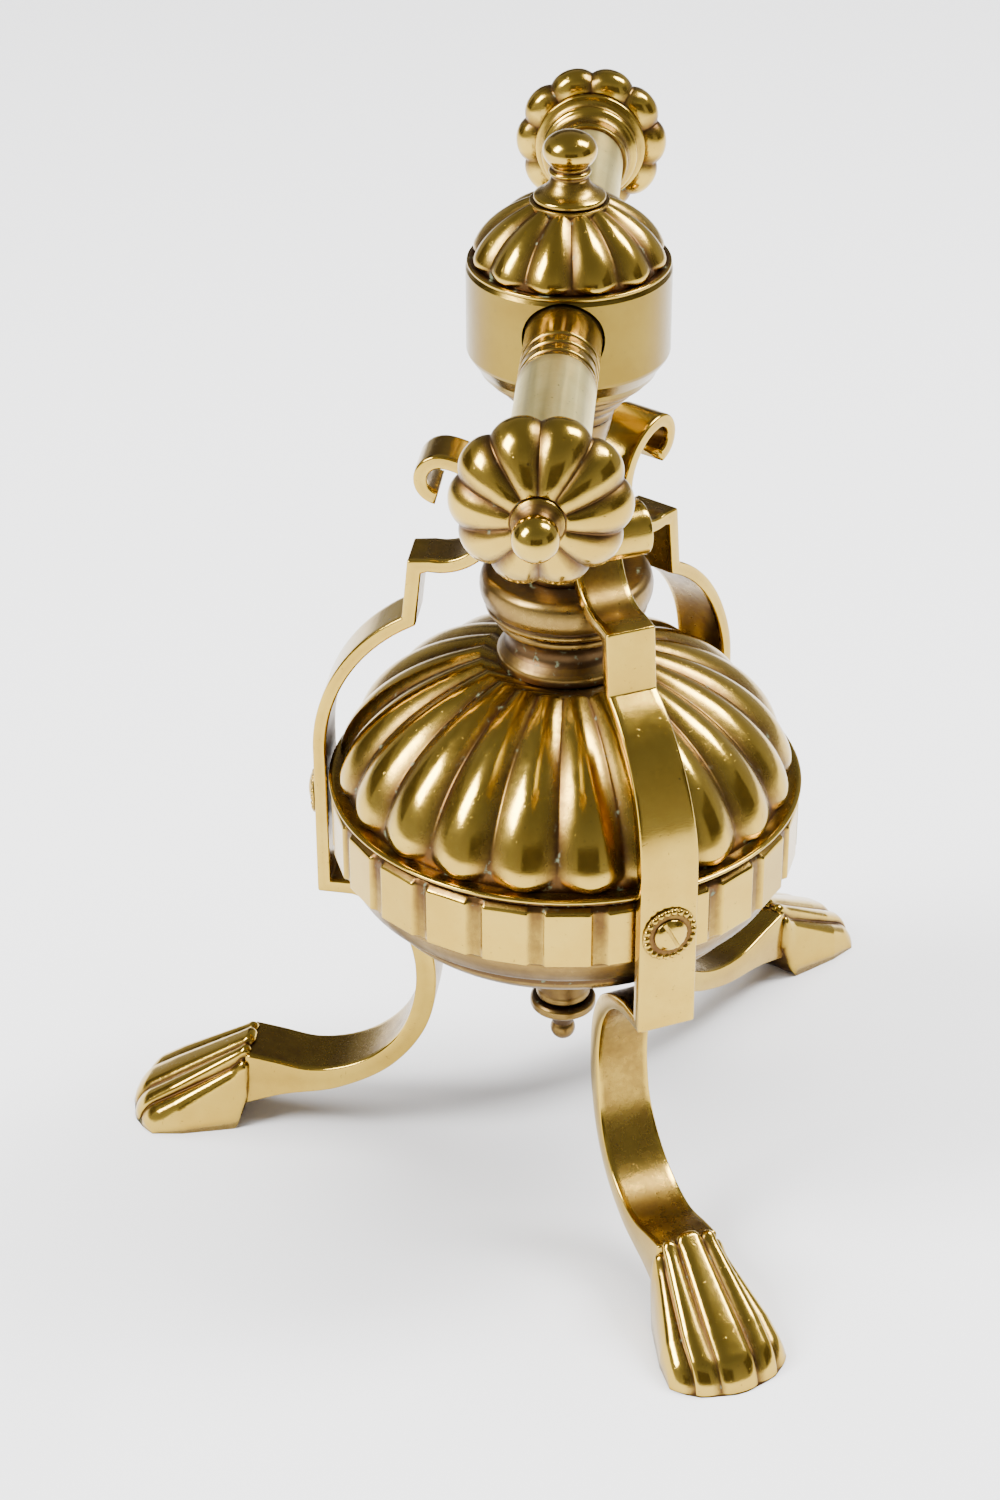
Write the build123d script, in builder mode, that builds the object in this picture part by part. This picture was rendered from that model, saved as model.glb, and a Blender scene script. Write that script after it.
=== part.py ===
from build123d import *
from math import acos, cos, degrees, radians, sin, sqrt
import os

# Brass fire dog: a crossbar with melon knobs on a turned head and stem, standing on a
# gadrooned bowl that three scrolled strap legs carry. Millimetres, +Z up, origin on the
# floor under the stem, crossbar along Y. The part is one of a pair on a hearth.

os.makedirs("parts", exist_ok=True)

# ---- overall sizes
bar_height = 245.0          # floor to the crossbar's axis
foot_reach = 118.5          # column axis to the tip of the left foot
rim_radius = 60.0           # thin edge of the bowl
rim_height = 0.4731 * bar_height  # floor to the top of that edge
knob_back = 97.6            # head axis to the inner face of a knob
tripod_turn = -3.4          # degrees the tripod stands off square to the crossbar
leg_angles = {"front": -60.0, "rear": 60.0, "left": 180.0}
reach_shares = {"front": 0.95, "rear": 1.09, "left": 1.0}  # the feet don't stand equally far out

# ---- fits
slip = 0.05                 # radial gap of a pushed or brazed fit
run = 0.25                  # gap between pieces that turn on each other
thread_gap = 0.08           # radial gap that stands for a screw thread
bar_hole_gap = 0.55         # clear ring round the bar where it enters the head
strap_gap = 0.2             # strap to the bowl's thin edge

# ---- centre rod and column
rod_radius = 2.4
rod_chamfer = 0.4
neck_base_height = rim_height + 33.7  # top of the bowl, where the neck cup sits
neck_base_radius = 17.2
cup_radius = 21.5
cup_top = neck_base_height + 24.8
stem_radius = 9.1
stem_bore = rod_radius + 3.1
stem_flare = stem_radius + 1.5
stem_foot_radius = stem_flare + 1.2
stem_cove = 16.0

# ---- crossbar
bar_radius = 9.0
bar_wall = 1.6
tube_step = 0.05            # the tube is this much smaller than the turned middle
core_half = 0.502 * knob_back  # turned middle of the bar, half length
core_groove = 0.45          # depth of a groove
groove_half = 0.35          # half its width
groove_pitch = 4.5
groove_count = 3
groove_first = core_half - 11.0
core_spigot = 12.0

# ---- head
drum_radius = 24.1
drum_wall = 3.0
drum_top = bar_height + bar_radius + bar_hole_gap + 0.05
drum_bottom = bar_height - bar_radius - 2.4
drum_foot = drum_bottom - 5.4
drum_foot_radius = drum_radius - 3.2
stem_top = drum_foot - 11.8
dome_radius = drum_radius - 0.8
dome_seat = 1.5             # plain ring under the lobes
dome_rise = 16.9
dome_power = 1.71
dome_lobes = 12
dome_lobe_turn = -85.0      # azimuth of one groove
dome_flute = 2.0
skirt_radius = 8.4          # foot of the top finial
bun_radius = 6.3            # the finial's flattened ball
bun_rise = 4.6
bun_height = drum_top + 27.4
finial_neck = rod_radius + 1.5

# ---- knobs
knob_radius = 19.5
knob_lobes = 10
knob_flute = 2.6
knob_front = knob_back + 14.6  # hub face, from the head axis
hub_radius = 6.0
hub_sink = 1.6              # the screw's seat in the hub face
flange_radius = bar_radius + 5.2
flange_start = knob_back - 11.6
tube_short = 4.0            # the tube stops this far inside the flange
plug_length = 14.0
screw_ball = 5.1
screw_neck = rod_radius + 1.1
screw_ball_at = knob_front + 6.8

# ---- bowl
bowl_crest = rim_radius - 1.9
bowl_rise = 38.2
bowl_centre = rim_height - 1.1  # height where the crests would be widest
bowl_power = 1.91
bowl_lobes = 21
bowl_lobe_turn = -88.7      # azimuth of one groove
bowl_flute = 3.2
bowl_wall = 2.2
rim_edge = 1.3
band_flat = rim_radius - 0.8  # centre of a facet from the axis
band_facets = 24
band_top = rim_height - 3.7
band_bottom = rim_height - 19.8
band_bore = rim_radius - 6.5
band_bevel = 1.5
band_flute = 1.9
lower_step = rim_radius - 2.8  # widest of the mouldings under the band
lower_waist = rim_radius - 10.4
ring_radius = rim_radius - 18.0  # lower ring under the bowl
ring_bottom = band_bottom - 16.5
boss_radius = rod_radius + 4.4
boss_top = ring_bottom - 17.6
boss_bottom = boss_top - 15.8
dish_wall = 4.5
nut_radius = 8.7
nut_ball = 3.3
nut_neck = rod_radius + 0.2
nut_tip = boss_bottom - 14.4

# ---- legs (profile in the leg's own upright plane, r from the column axis)
strap_thick = 3.4
strap_in = rim_radius + strap_gap
strap_out = strap_in + strap_thick  # outer face beside the band
strap_foot = band_bottom - 14.7 - strap_thick  # underside of the square bend below the band
bend_r = strap_in - 5.7     # where the square bend's flat ends
step_out = strap_out - 25.0  # outer face of the upper step
step_lean = 1.6             # the step's riser leans out by this much
step_top = neck_base_height + 26.8
step_bottom = neck_base_height + 10.8
arc_foot = rim_height + 5.1  # where the shoulder arc meets the upright
scroll_r, scroll_z = step_out - 7.3, step_top + 13.0
scroll_radius = 16.0
curl_radius = strap_thick + 3.2
curl_start = 97.0           # degrees round the scroll where the curl begins
curl_end = -80.0
strap_narrow = 12.4
strap_wide = strap_narrow + 2.6
leg_width = strap_narrow + 1.8
shell_length = 35.0         # ridge to toe of a shell foot
heel_step = 3.5             # ridge to the heel's bearing edge
bow_r = rim_radius - 21.3   # outer face of the leg at its narrowest
ridge_z = 25.6
ridge_width = strap_narrow + 6.6
foot_width = 32.0
foot_lobes = 5
foot_groove = 0.86          # groove between lobes as a share of the crest
toe_round = 0.75 * foot_width  # radius of the foot's front in plan
screw_height = band_bottom + 9.9
bead_ring = 7.2
bead_radius = 0.95
bead_count = 22
band_screw_head = 4.4
band_screw_shank = 2.0


def circle_point(centre, radius, angle):
    """Point on a circle, angle in degrees."""
    return (centre[0] + radius * cos(radians(angle)), centre[1] + radius * sin(radians(angle)))


def super_radius(height, centre, half_width, rise, power):
    """Radius of a rounded profile at a height above its widest level."""
    share = min(max((height - centre) / rise, 0.0), 0.999)
    return half_width * (1 - share**power) ** (1 / power)


def scallop(crest, groove, count, turn):
    """Closed outline of arcs that bulge to the crest radius between grooves."""
    half = 180.0 / count
    with BuildLine() as outline:
        for i in range(count):
            start = turn + 2 * half * i
            ThreePointArc(
                circle_point((0, 0), groove, start),
                circle_point((0, 0), crest, start + half),
                circle_point((0, 0), groove, start + 2 * half),
            )
    return outline.line


def shell_arch(half_width, height, floor):
    """Arcs (start, crest, end) of the fluted arch across a shell foot, left to right."""
    step = 180.0 / foot_lobes
    arcs = []
    for i in range(foot_lobes):
        points = []
        for angle, share in ((180 - step * i, foot_groove), (180 - step * (i + 0.5), 1.0),
                             (180 - step * (i + 1), foot_groove)):
            if angle in (0.0, 180.0):
                share = 1.0
            points.append((half_width * share * cos(radians(angle)),
                           floor + height * share * sin(radians(angle))))
        arcs.append(points)
    return arcs


def save(piece, name):
    piece.part.label = name
    export_step(piece.part, f"parts/{name}.step")


# ================= column =================
finial_thread_top = bun_height - 2.0
rod_top = finial_thread_top - 1.0
rod_bottom = nut_tip + 2 * nut_ball + 2.0

with BuildPart() as centre_rod:
    with BuildSketch(Plane.XY.offset(rod_bottom)):
        Circle(rod_radius)
    extrude(amount=rod_top - rod_bottom)
    chamfer(centre_rod.edges().filter_by(GeomType.CIRCLE), rod_chamfer)
save(centre_rod, "centre_rod")

with BuildPart() as neck_cup:
    with BuildSketch(Plane.XZ):
        with BuildLine():
            Polyline(
                (stem_bore, neck_base_height),
                (neck_base_radius, neck_base_height),
                (neck_base_radius, neck_base_height + 2.2),
                (neck_base_radius - 0.9, neck_base_height + 3.6),
                (neck_base_radius - 1.9, neck_base_height + 4.0),
            )
            ThreePointArc(
                (neck_base_radius - 1.9, neck_base_height + 4.0),
                (neck_base_radius - 2.9, neck_base_height + 7.4),
                (neck_base_radius - 0.9, neck_base_height + 10.6),
            )
            Polyline(
                (neck_base_radius - 0.9, neck_base_height + 10.6),
                (neck_base_radius + 0.4, neck_base_height + 11.0),
                (neck_base_radius + 0.6, neck_base_height + 12.4),
                (neck_base_radius + 0.2, neck_base_height + 13.0),
                (cup_radius - 1.6, neck_base_height + 14.0),
            )
            ThreePointArc(
                (cup_radius - 1.6, neck_base_height + 14.0),
                (cup_radius - 0.6, neck_base_height + 15.4),
                (cup_radius - 1.4, neck_base_height + 16.8),
            )
            ThreePointArc(
                (cup_radius - 1.4, neck_base_height + 16.8),
                (cup_radius, neck_base_height + 19.8),
                (cup_radius - 1.0, cup_top - 1.0),
            )
            Polyline(
                (cup_radius - 1.0, cup_top - 1.0),
                (cup_radius - 2.0, cup_top),
                (stem_bore, cup_top),
                (stem_bore, neck_base_height),
            )
        make_face()
    revolve(axis=Axis.Z)
save(neck_cup, "neck_cup")

with BuildPart() as stem:
    with BuildSketch(Plane.XZ):
        with BuildLine():
            Polyline(
                (stem_bore, stem_top),
                (stem_bore, cup_top),
                (stem_foot_radius, cup_top),
                (stem_foot_radius, cup_top + 1.6),
                (stem_radius, cup_top + 3.4),
                (stem_radius, stem_top - 8.0),
            )
            RadiusArc((stem_radius, stem_top - 8.0), (stem_flare, stem_top - 1.2), -stem_cove)
            Polyline(
                (stem_flare, stem_top - 1.2),
                (stem_flare, stem_top),
                (stem_bore, stem_top),
            )
        make_face()
    revolve(axis=Axis.Z)
save(stem, "stem")

# ================= head =================
base_bottom = stem_top + run
base_top = drum_foot + drum_wall
base_flare = drum_foot_radius - 1.2 - stem_flare

with BuildPart() as head_base:
    with BuildSketch(Plane.XZ):
        with BuildLine():
            Polyline(
                (rod_radius + run, base_bottom),
                (stem_flare + 0.044 * base_flare, base_bottom),
                (stem_flare + 0.044 * base_flare, base_bottom + 1.4),
            )
            ThreePointArc(
                (stem_flare + 0.044 * base_flare, base_bottom + 1.4),
                (stem_flare + 0.132 * base_flare, base_bottom + 3.0),
                (stem_flare + 0.308 * base_flare, base_bottom + 3.8),
            )
            Polyline(
                (stem_flare + 0.308 * base_flare, base_bottom + 3.8),
                (stem_flare + 0.33 * base_flare, base_bottom + 5.0),
                (stem_flare + 0.593 * base_flare, base_bottom + 6.6),
                (stem_flare + 0.615 * base_flare, base_bottom + 7.8),
                (stem_flare + 0.945 * base_flare, base_bottom + 9.4),
                (stem_flare + 0.967 * base_flare, base_bottom + 10.8),
                (drum_foot_radius - 1.2, drum_foot),
                (drum_foot_radius - drum_wall - slip, drum_foot),
                (drum_foot_radius - drum_wall - slip, base_top),
                (rod_radius + run, base_top),
                (rod_radius + run, base_bottom),
            )
        make_face()
    revolve(axis=Axis.Z)
save(head_base, "head_base")

with BuildPart() as head_drum:
    with BuildSketch(Plane.XZ):
        with BuildLine():
            Polyline(
                (drum_foot_radius - drum_wall, drum_foot),
                (drum_foot_radius, drum_foot),
                (drum_foot_radius + 0.5, drum_foot + 1.2),
                (drum_radius - 0.3, drum_bottom - 0.8),
                (drum_radius, drum_bottom),
                (drum_radius, drum_top - 0.9),
                (drum_radius - 0.5, drum_top),
                (drum_radius - drum_wall, drum_top),
                (drum_radius - drum_wall, drum_bottom + 1.0),
                (drum_foot_radius - drum_wall, base_top),
                (drum_foot_radius - drum_wall, drum_foot),
            )
        make_face()
    revolve(axis=Axis.Z)
    with BuildSketch(Plane.XZ):
        with Locations((0, bar_height)):
            Circle(bar_radius + bar_hole_gap)
    extrude(amount=2 * drum_radius, both=True, mode=Mode.SUBTRACT)
save(head_drum, "head_drum")

dome_base = drum_top + dome_seat
dome_centre = dome_base - 1.0
dome_top = dome_centre + dome_rise * (1 - (skirt_radius / dome_radius) ** dome_power) ** (1 / dome_power)
plug_wall = drum_radius - drum_wall - 1.6

with BuildPart() as dome_cap:
    with BuildSketch(Plane.XY.offset(drum_top)):
        Circle(drum_radius)
    extrude(amount=dome_base - drum_top)
    fillet(dome_cap.edges().group_by(Axis.Z)[-1], 0.5)
    for share in (0.0, 0.14, 0.36, 0.6, 0.82, 1.0):
        level = dome_base + (dome_top - dome_base) * share
        crest = super_radius(level, dome_centre, dome_radius, dome_rise, dome_power)
        depth = dome_flute * min(1.0, 0.35 + 4 * share) * (1 - 0.62 * share)
        with BuildSketch(Plane.XY.offset(level)):
            with BuildLine():
                add(scallop(crest, crest - depth, dome_lobes, dome_lobe_turn))
            make_face()
    loft()
    with BuildSketch(Plane.XZ):
        with BuildLine():
            Polyline(
                (rod_radius + run, dome_top - 4.0),
                (skirt_radius, dome_top - 4.2),
                (dome_radius * 0.66, dome_base + 4.4),
                (plug_wall, dome_base - 0.6),
                (plug_wall, drum_top - 3.0),
                (0, drum_top - 3.0),
                (0, dome_top + 1.0),
                (rod_radius + run, dome_top + 1.0),
                (rod_radius + run, dome_top - 4.0),
            )
        make_face()
    revolve(axis=Axis.Z, mode=Mode.SUBTRACT)
    with BuildSketch(Plane.XY.offset(drum_top - 2.0)):
        Circle(drum_radius - drum_wall - slip)
        Circle(plug_wall, mode=Mode.SUBTRACT)
    extrude(amount=2.6)
    with BuildSketch(Plane.XZ):
        with Locations((0, bar_height)):
            Circle(bar_radius + bar_hole_gap + 0.4)
    extrude(amount=2 * drum_radius, both=True, mode=Mode.SUBTRACT)
save(dome_cap, "dome_cap")

finial_foot = dome_top + run
neck_height = bun_height - bun_rise - 0.6
bun_foot = degrees(acos((finial_neck + 0.2) / bun_radius))
bun = [
    (bun_radius * cos(radians(angle)), bun_height + bun_rise * sin(radians(angle)))
    for angle in (-bun_foot, -bun_foot / 2, 0, 30, 60, 90)
]
with BuildPart() as top_finial:
    with BuildSketch(Plane.XZ):
        with BuildLine():
            Polyline((0, finial_foot), (skirt_radius, finial_foot), (skirt_radius, finial_foot + 0.7))
            RadiusArc((skirt_radius, finial_foot + 0.7), (skirt_radius - 2.0, finial_foot + 2.0), 9)
            ThreePointArc(
                (skirt_radius - 2.0, finial_foot + 2.0),
                (finial_neck + 0.6, finial_foot + 3.6),
                (finial_neck + 0.15, neck_height - 0.7),
            )
            ThreePointArc(
                (finial_neck + 0.15, neck_height - 0.7),
                (finial_neck + 1.0, neck_height + 0.2),
                (finial_neck + 0.6, neck_height + 1.0),
            )
            Line((finial_neck + 0.6, neck_height + 1.0), bun[0])
            Spline(*bun, tangents=((sin(radians(bun_foot)), 0.7 * cos(radians(bun_foot))), (-1, 0)))
            Line(bun[-1], (0, finial_foot))
        make_face()
    revolve(axis=Axis.Z)
    with BuildSketch(Plane.XY.offset(finial_foot)):
        Circle(rod_radius + thread_gap)
    extrude(amount=finial_thread_top - finial_foot, mode=Mode.SUBTRACT)
save(top_finial, "top_finial")

# ================= crossbar =================
bar_bore = bar_radius - bar_wall
core_end = core_half + core_spigot

with BuildPart() as bar_core:
    with BuildSketch(Plane.XZ):
        with Locations((0, bar_height)):
            Circle(bar_radius)
    extrude(amount=core_half, both=True)
    with BuildSketch(Plane.XZ):
        with Locations((0, bar_height)):
            Circle(bar_bore - slip)
    extrude(amount=core_end, both=True)
    for side in (-1, 1):
        for i in range(groove_count):
            with BuildSketch(Plane.XZ.offset(side * (groove_first + groove_pitch * i))):
                with Locations((0, bar_height)):
                    Circle(bar_radius + 1)
                    Circle(bar_radius - core_groove, mode=Mode.SUBTRACT)
            extrude(amount=groove_half, both=True, mode=Mode.SUBTRACT)
    with BuildSketch(Plane.XY.offset(bar_height - 2 * bar_radius)):
        Circle(rod_radius + run)
    extrude(amount=4 * bar_radius, mode=Mode.SUBTRACT)
save(bar_core, "bar_core")

tube_end = knob_back - tube_short
plug_start = tube_end - plug_length
screw_inner = plug_start + 3.0


def end_plane(side, distance):
    """Plane square to the crossbar, at a distance out from the head."""
    return Plane(origin=(0, side * distance, bar_height), x_dir=(1, 0, 0), z_dir=(0, side, 0))


def turned_plane(side):
    """Plane through the crossbar's axis, its Y running outwards along the bar."""
    return Plane(origin=(0, 0, bar_height), x_dir=(1, 0, 0), z_dir=(0, 0, -side))


def make_end(side, suffix):
    """Tube, flange, knob, plug and ball screw at one end of the crossbar."""
    bar_axis = Axis((0, 0, bar_height), (0, side, 0))
    half = turned_plane(side)

    with BuildPart() as tube:
        with BuildSketch(end_plane(side, core_half)):
            Circle(bar_radius - tube_step)
            Circle(bar_bore, mode=Mode.SUBTRACT)
        extrude(amount=tube_end - core_half)
    save(tube, "crossbar_tube_" + suffix)

    with BuildPart() as flange:
        with BuildSketch(half):
            with BuildLine():
                Polyline(
                    (rod_radius + run, tube_end),
                    (bar_radius + slip, tube_end),
                    (bar_radius + slip, flange_start),
                    (bar_radius + 1.0, flange_start),
                    (bar_radius + 1.3, flange_start + 1.0),
                )
                RadiusArc((bar_radius + 1.3, flange_start + 1.0), (bar_radius + 2.0, flange_start + 5.4), 9)
                ThreePointArc(
                    (bar_radius + 2.0, flange_start + 5.4),
                    (bar_radius + 3.5, flange_start + 6.8),
                    (bar_radius + 2.6, flange_start + 8.4),
                )
                ThreePointArc(
                    (bar_radius + 2.6, flange_start + 8.4),
                    (bar_radius + 3.1, flange_start + 9.6),
                    (flange_radius, flange_start + 10.3),
                )
                Polyline(
                    (flange_radius, flange_start + 10.3),
                    (flange_radius, knob_back - run),
                    (rod_radius + run, knob_back - run),
                    (rod_radius + run, tube_end),
                )
            make_face()
        revolve(axis=bar_axis)
    save(flange, "knob_flange_" + suffix)

    with BuildPart() as knob:
        for at, crest, depth in (
            (0.0, 0.80, 0.25),
            (0.10, 0.925, 0.75),
            (0.27, 1.0, 1.0),
            (0.48, 0.965, 1.0),
            (0.68, 0.83, 0.9),
            (0.86, 0.62, 0.65),
            (1.0, 0.40, 0.2),
        ):
            with BuildSketch(end_plane(side, knob_back + (knob_front - knob_back) * at)):
                with BuildLine():
                    outer = knob_radius * crest
                    add(scallop(outer, outer - knob_flute * depth, knob_lobes, -90.0 * side))
                make_face()
        loft()
        with BuildSketch(end_plane(side, knob_front)):
            Circle(hub_radius)
        extrude(amount=-hub_sink, mode=Mode.SUBTRACT)
        with BuildSketch(end_plane(side, knob_back)):
            Circle(rod_radius + run)
        extrude(amount=knob_front - knob_back, mode=Mode.SUBTRACT)
    save(knob, "knob_" + suffix)

    with BuildPart() as plug:
        with BuildSketch(end_plane(side, plug_start)):
            Circle(bar_bore - slip)
            Circle(rod_radius + thread_gap, mode=Mode.SUBTRACT)
        extrude(amount=tube_end - plug_start)
    save(plug, "bar_plug_" + suffix)

    seat = knob_front - hub_sink + run
    screw_throat = (screw_neck, screw_ball_at - sqrt(screw_ball**2 - screw_neck**2))
    with BuildPart() as screw:
        with BuildSketch(half):
            with BuildLine():
                Polyline(
                    (0, screw_inner),
                    (rod_radius, screw_inner),
                    (rod_radius, seat),
                    (hub_radius - run, seat),
                    (hub_radius - run, seat + 1.5),
                )
                RadiusArc((hub_radius - run, seat + 1.5), screw_throat, 7)
                ThreePointArc(
                    screw_throat,
                    (screw_ball, screw_ball_at),
                    (0, screw_ball_at + screw_ball),
                )
                Line((0, screw_ball_at + screw_ball), (0, screw_inner))
            make_face()
        revolve(axis=bar_axis)
    save(screw, "ball_screw_" + suffix)


make_end(-1, "front")
make_end(1, "rear")

# ================= bowl =================
with BuildPart() as bowl_upper:
    lobe_base = rim_height + 0.4
    lobe_top = neck_base_height
    with BuildSketch(Plane.XY.offset(rim_height)):
        Circle(rim_radius - 1.4)
    extrude(amount=lobe_base - rim_height)
    for share in (0.0, 0.07, 0.22, 0.42, 0.62, 0.8, 0.93, 1.0):
        level = lobe_base + (lobe_top - lobe_base) * share
        crest = super_radius(level, bowl_centre, bowl_crest, bowl_rise, bowl_power)
        depth = bowl_flute * min(1.0, 0.3 + 9 * share) * (1 - 0.62 * share**2)
        with BuildSketch(Plane.XY.offset(level)):
            with BuildLine():
                add(scallop(crest, crest - depth, bowl_lobes, bowl_lobe_turn))
            make_face()
    loft()
    with BuildSketch(Plane.XZ):
        with BuildLine():
            inner = [
                (
                    super_radius(level, bowl_centre, bowl_crest, bowl_rise, bowl_power)
                    - bowl_flute - bowl_wall,
                    level - 0.6,
                )
                for level in (lobe_base + share * (lobe_top - lobe_base) for share in (0.006, 0.23, 0.47, 0.68, 0.83))
            ]
            Spline(*inner)
            Polyline(
                inner[-1],
                (stem_bore + 6.0, neck_base_height - 4.2),
                (rod_radius + run, neck_base_height - 4.2),
                (rod_radius + run, neck_base_height + 1.0),
                (0, neck_base_height + 1.0),
                (0, rim_height - 1.0),
                (inner[0][0], rim_height - 1.0),
                inner[0],
            )
        make_face()
    revolve(axis=Axis.Z, mode=Mode.SUBTRACT)
save(bowl_upper, "bowl_upper")

with BuildPart() as bowl_band:
    with BuildSketch(Plane.XY.offset(band_bottom)):
        with PolarLocations(0, 1, start_angle=tripod_turn):
            RegularPolygon(band_flat, band_facets, major_radius=False)
    extrude(amount=band_top - band_bottom)
    chamfer(bowl_band.edges().group_by(Axis.Z)[-1], band_bevel)
    with BuildSketch(Plane.XZ):
        with BuildLine():
            Polyline(
                (band_bore, band_top - 2.0),
                (band_flat - 1.7, band_top - 2.0),
                (band_flat - 1.7, rim_height - rim_edge - 0.9),
                (rim_radius - 0.5, rim_height - rim_edge),
                (rim_radius, rim_height - 0.9),
                (rim_radius - 0.5, rim_height),
                (band_bore, rim_height),
                (band_bore, band_top - 2.0),
            )
        make_face()
    revolve(axis=Axis.Z)
    with BuildSketch(Plane.XY.offset(band_bottom)):
        with PolarLocations(band_flat + 1.25, band_facets, start_angle=tripod_turn):
            Circle(band_flute)
    extrude(amount=rim_height - rim_edge - 1.0 - band_bottom, mode=Mode.SUBTRACT)
    with BuildSketch(Plane.XY.offset(band_bottom)):
        Circle(band_bore)
    extrude(amount=rim_height - band_bottom, mode=Mode.SUBTRACT)
    for angle in leg_angles.values():
        way = Vector(1, 0, 0).rotate(Axis.Z, angle + tripod_turn)
        with BuildSketch(Plane(origin=way * band_bore + Vector(0, 0, screw_height), z_dir=way)):
            Circle(band_screw_shank + slip)
        extrude(amount=rim_radius, both=True, mode=Mode.SUBTRACT)
save(bowl_band, "bowl_band")

with BuildPart() as bowl_lower:
    with BuildSketch(Plane.XZ):
        with BuildLine():
            Polyline((band_bore, band_bottom), (lower_step, band_bottom), (lower_step, band_bottom - 1.6))
            ThreePointArc(
                (lower_step, band_bottom - 1.6),
                (lower_step - 1.8, band_bottom - 6.4),
                (lower_waist + 1.6, band_bottom - 9.4),
            )
            Polyline(
                (lower_waist + 1.6, band_bottom - 9.4),
                (lower_waist, band_bottom - 9.4),
                (lower_waist, band_bottom - 11.4),
            )
            ThreePointArc(
                (lower_waist, band_bottom - 11.4),
                (lower_waist - 1.6, ring_bottom + 2.0),
                (ring_radius + 1.5, ring_bottom),
            )
            Line((ring_radius + 1.5, ring_bottom), (ring_radius, ring_bottom))
            ThreePointArc(
                (ring_radius, ring_bottom),
                ((ring_radius + boss_radius) / 2, boss_top + 8.2),
                (boss_radius + 3.0, boss_top),
            )
            Polyline(
                (boss_radius + 3.0, boss_top),
                (rod_radius + slip, boss_top),
                (rod_radius + slip, boss_top + dish_wall),
                (boss_radius + 3.0, boss_top + dish_wall),
            )
            ThreePointArc(
                (boss_radius + 3.0, boss_top + dish_wall),
                ((ring_radius + boss_radius) / 2, boss_top + 11.7),
                (ring_radius - 1.0, ring_bottom + 4.0),
            )
            Polyline(
                (ring_radius - 1.0, ring_bottom + 4.0),
                (band_bore - 1.4, band_bottom - 6.0),
                (band_bore, band_bottom - 3.0),
                (band_bore, band_bottom),
            )
        make_face()
    revolve(axis=Axis.Z)
save(bowl_lower, "bowl_lower")

with BuildPart() as lower_boss:
    with BuildSketch(Plane.XZ):
        with BuildLine():
            Polyline(
                (rod_radius + slip, boss_top),
                (boss_radius + 2.8, boss_top),
                (boss_radius + 2.0, boss_top - 2.5),
                (boss_radius, boss_top - 4.0),
                (boss_radius, boss_bottom),
                (rod_radius + slip, boss_bottom),
                (rod_radius + slip, boss_top),
            )
        make_face()
    revolve(axis=Axis.Z)
save(lower_boss, "lower_boss")

nut_top = boss_bottom - run
nut_throat = (nut_neck, nut_tip + nut_ball + sqrt(nut_ball**2 - nut_neck**2))
with BuildPart() as pendant_nut:
    with BuildSketch(Plane.XZ):
        with BuildLine():
            Polyline(
                (0, nut_top),
                (nut_radius - 0.8, nut_top),
                (nut_radius, nut_top - 0.8),
                (nut_radius, nut_top - 2.6),
                (nut_radius - 0.8, nut_top - 3.4),
            )
            ThreePointArc(
                (nut_radius - 0.8, nut_top - 3.4),
                (4.6, nut_top - 5.4),
                nut_throat,
            )
            ThreePointArc(
                nut_throat,
                (nut_ball, nut_tip + nut_ball),
                (0, nut_tip),
            )
            Line((0, nut_tip), (0, nut_top))
        make_face()
    revolve(axis=Axis.Z)
    with BuildSketch(Plane.XY.offset(nut_top)):
        Circle(rod_radius + thread_gap)
    extrude(amount=rod_bottom - 0.3 - nut_top, mode=Mode.SUBTRACT)
save(pendant_nut, "pendant_nut")

# ================= legs =================
inner_scroll = scroll_radius - strap_thick
inner_curl = curl_radius - strap_thick
curl_centre = circle_point((scroll_r, scroll_z), scroll_radius - curl_radius, curl_start)
lean_out = step_out + step_lean
arc_radius = ((strap_out - lean_out) ** 2 + (step_bottom - arc_foot) ** 2) / (2 * (strap_out - lean_out))
arc_r = strap_out - arc_radius
riser_in = step_out - strap_thick
riser_low = lean_out - strap_thick
riser_low_z = arc_foot + sqrt((arc_radius - strap_thick) ** 2 - (riser_low - arc_r) ** 2)
sole_trim = 0.8             # cut flat off the toe so that it stands square


def leg_point(ridge_r, share, up):
    """Point of the leg's curve: share of the way out to the ridge, share of the height of the bend."""
    return (bow_r + share * (ridge_r - bow_r), up * strap_foot)


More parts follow.
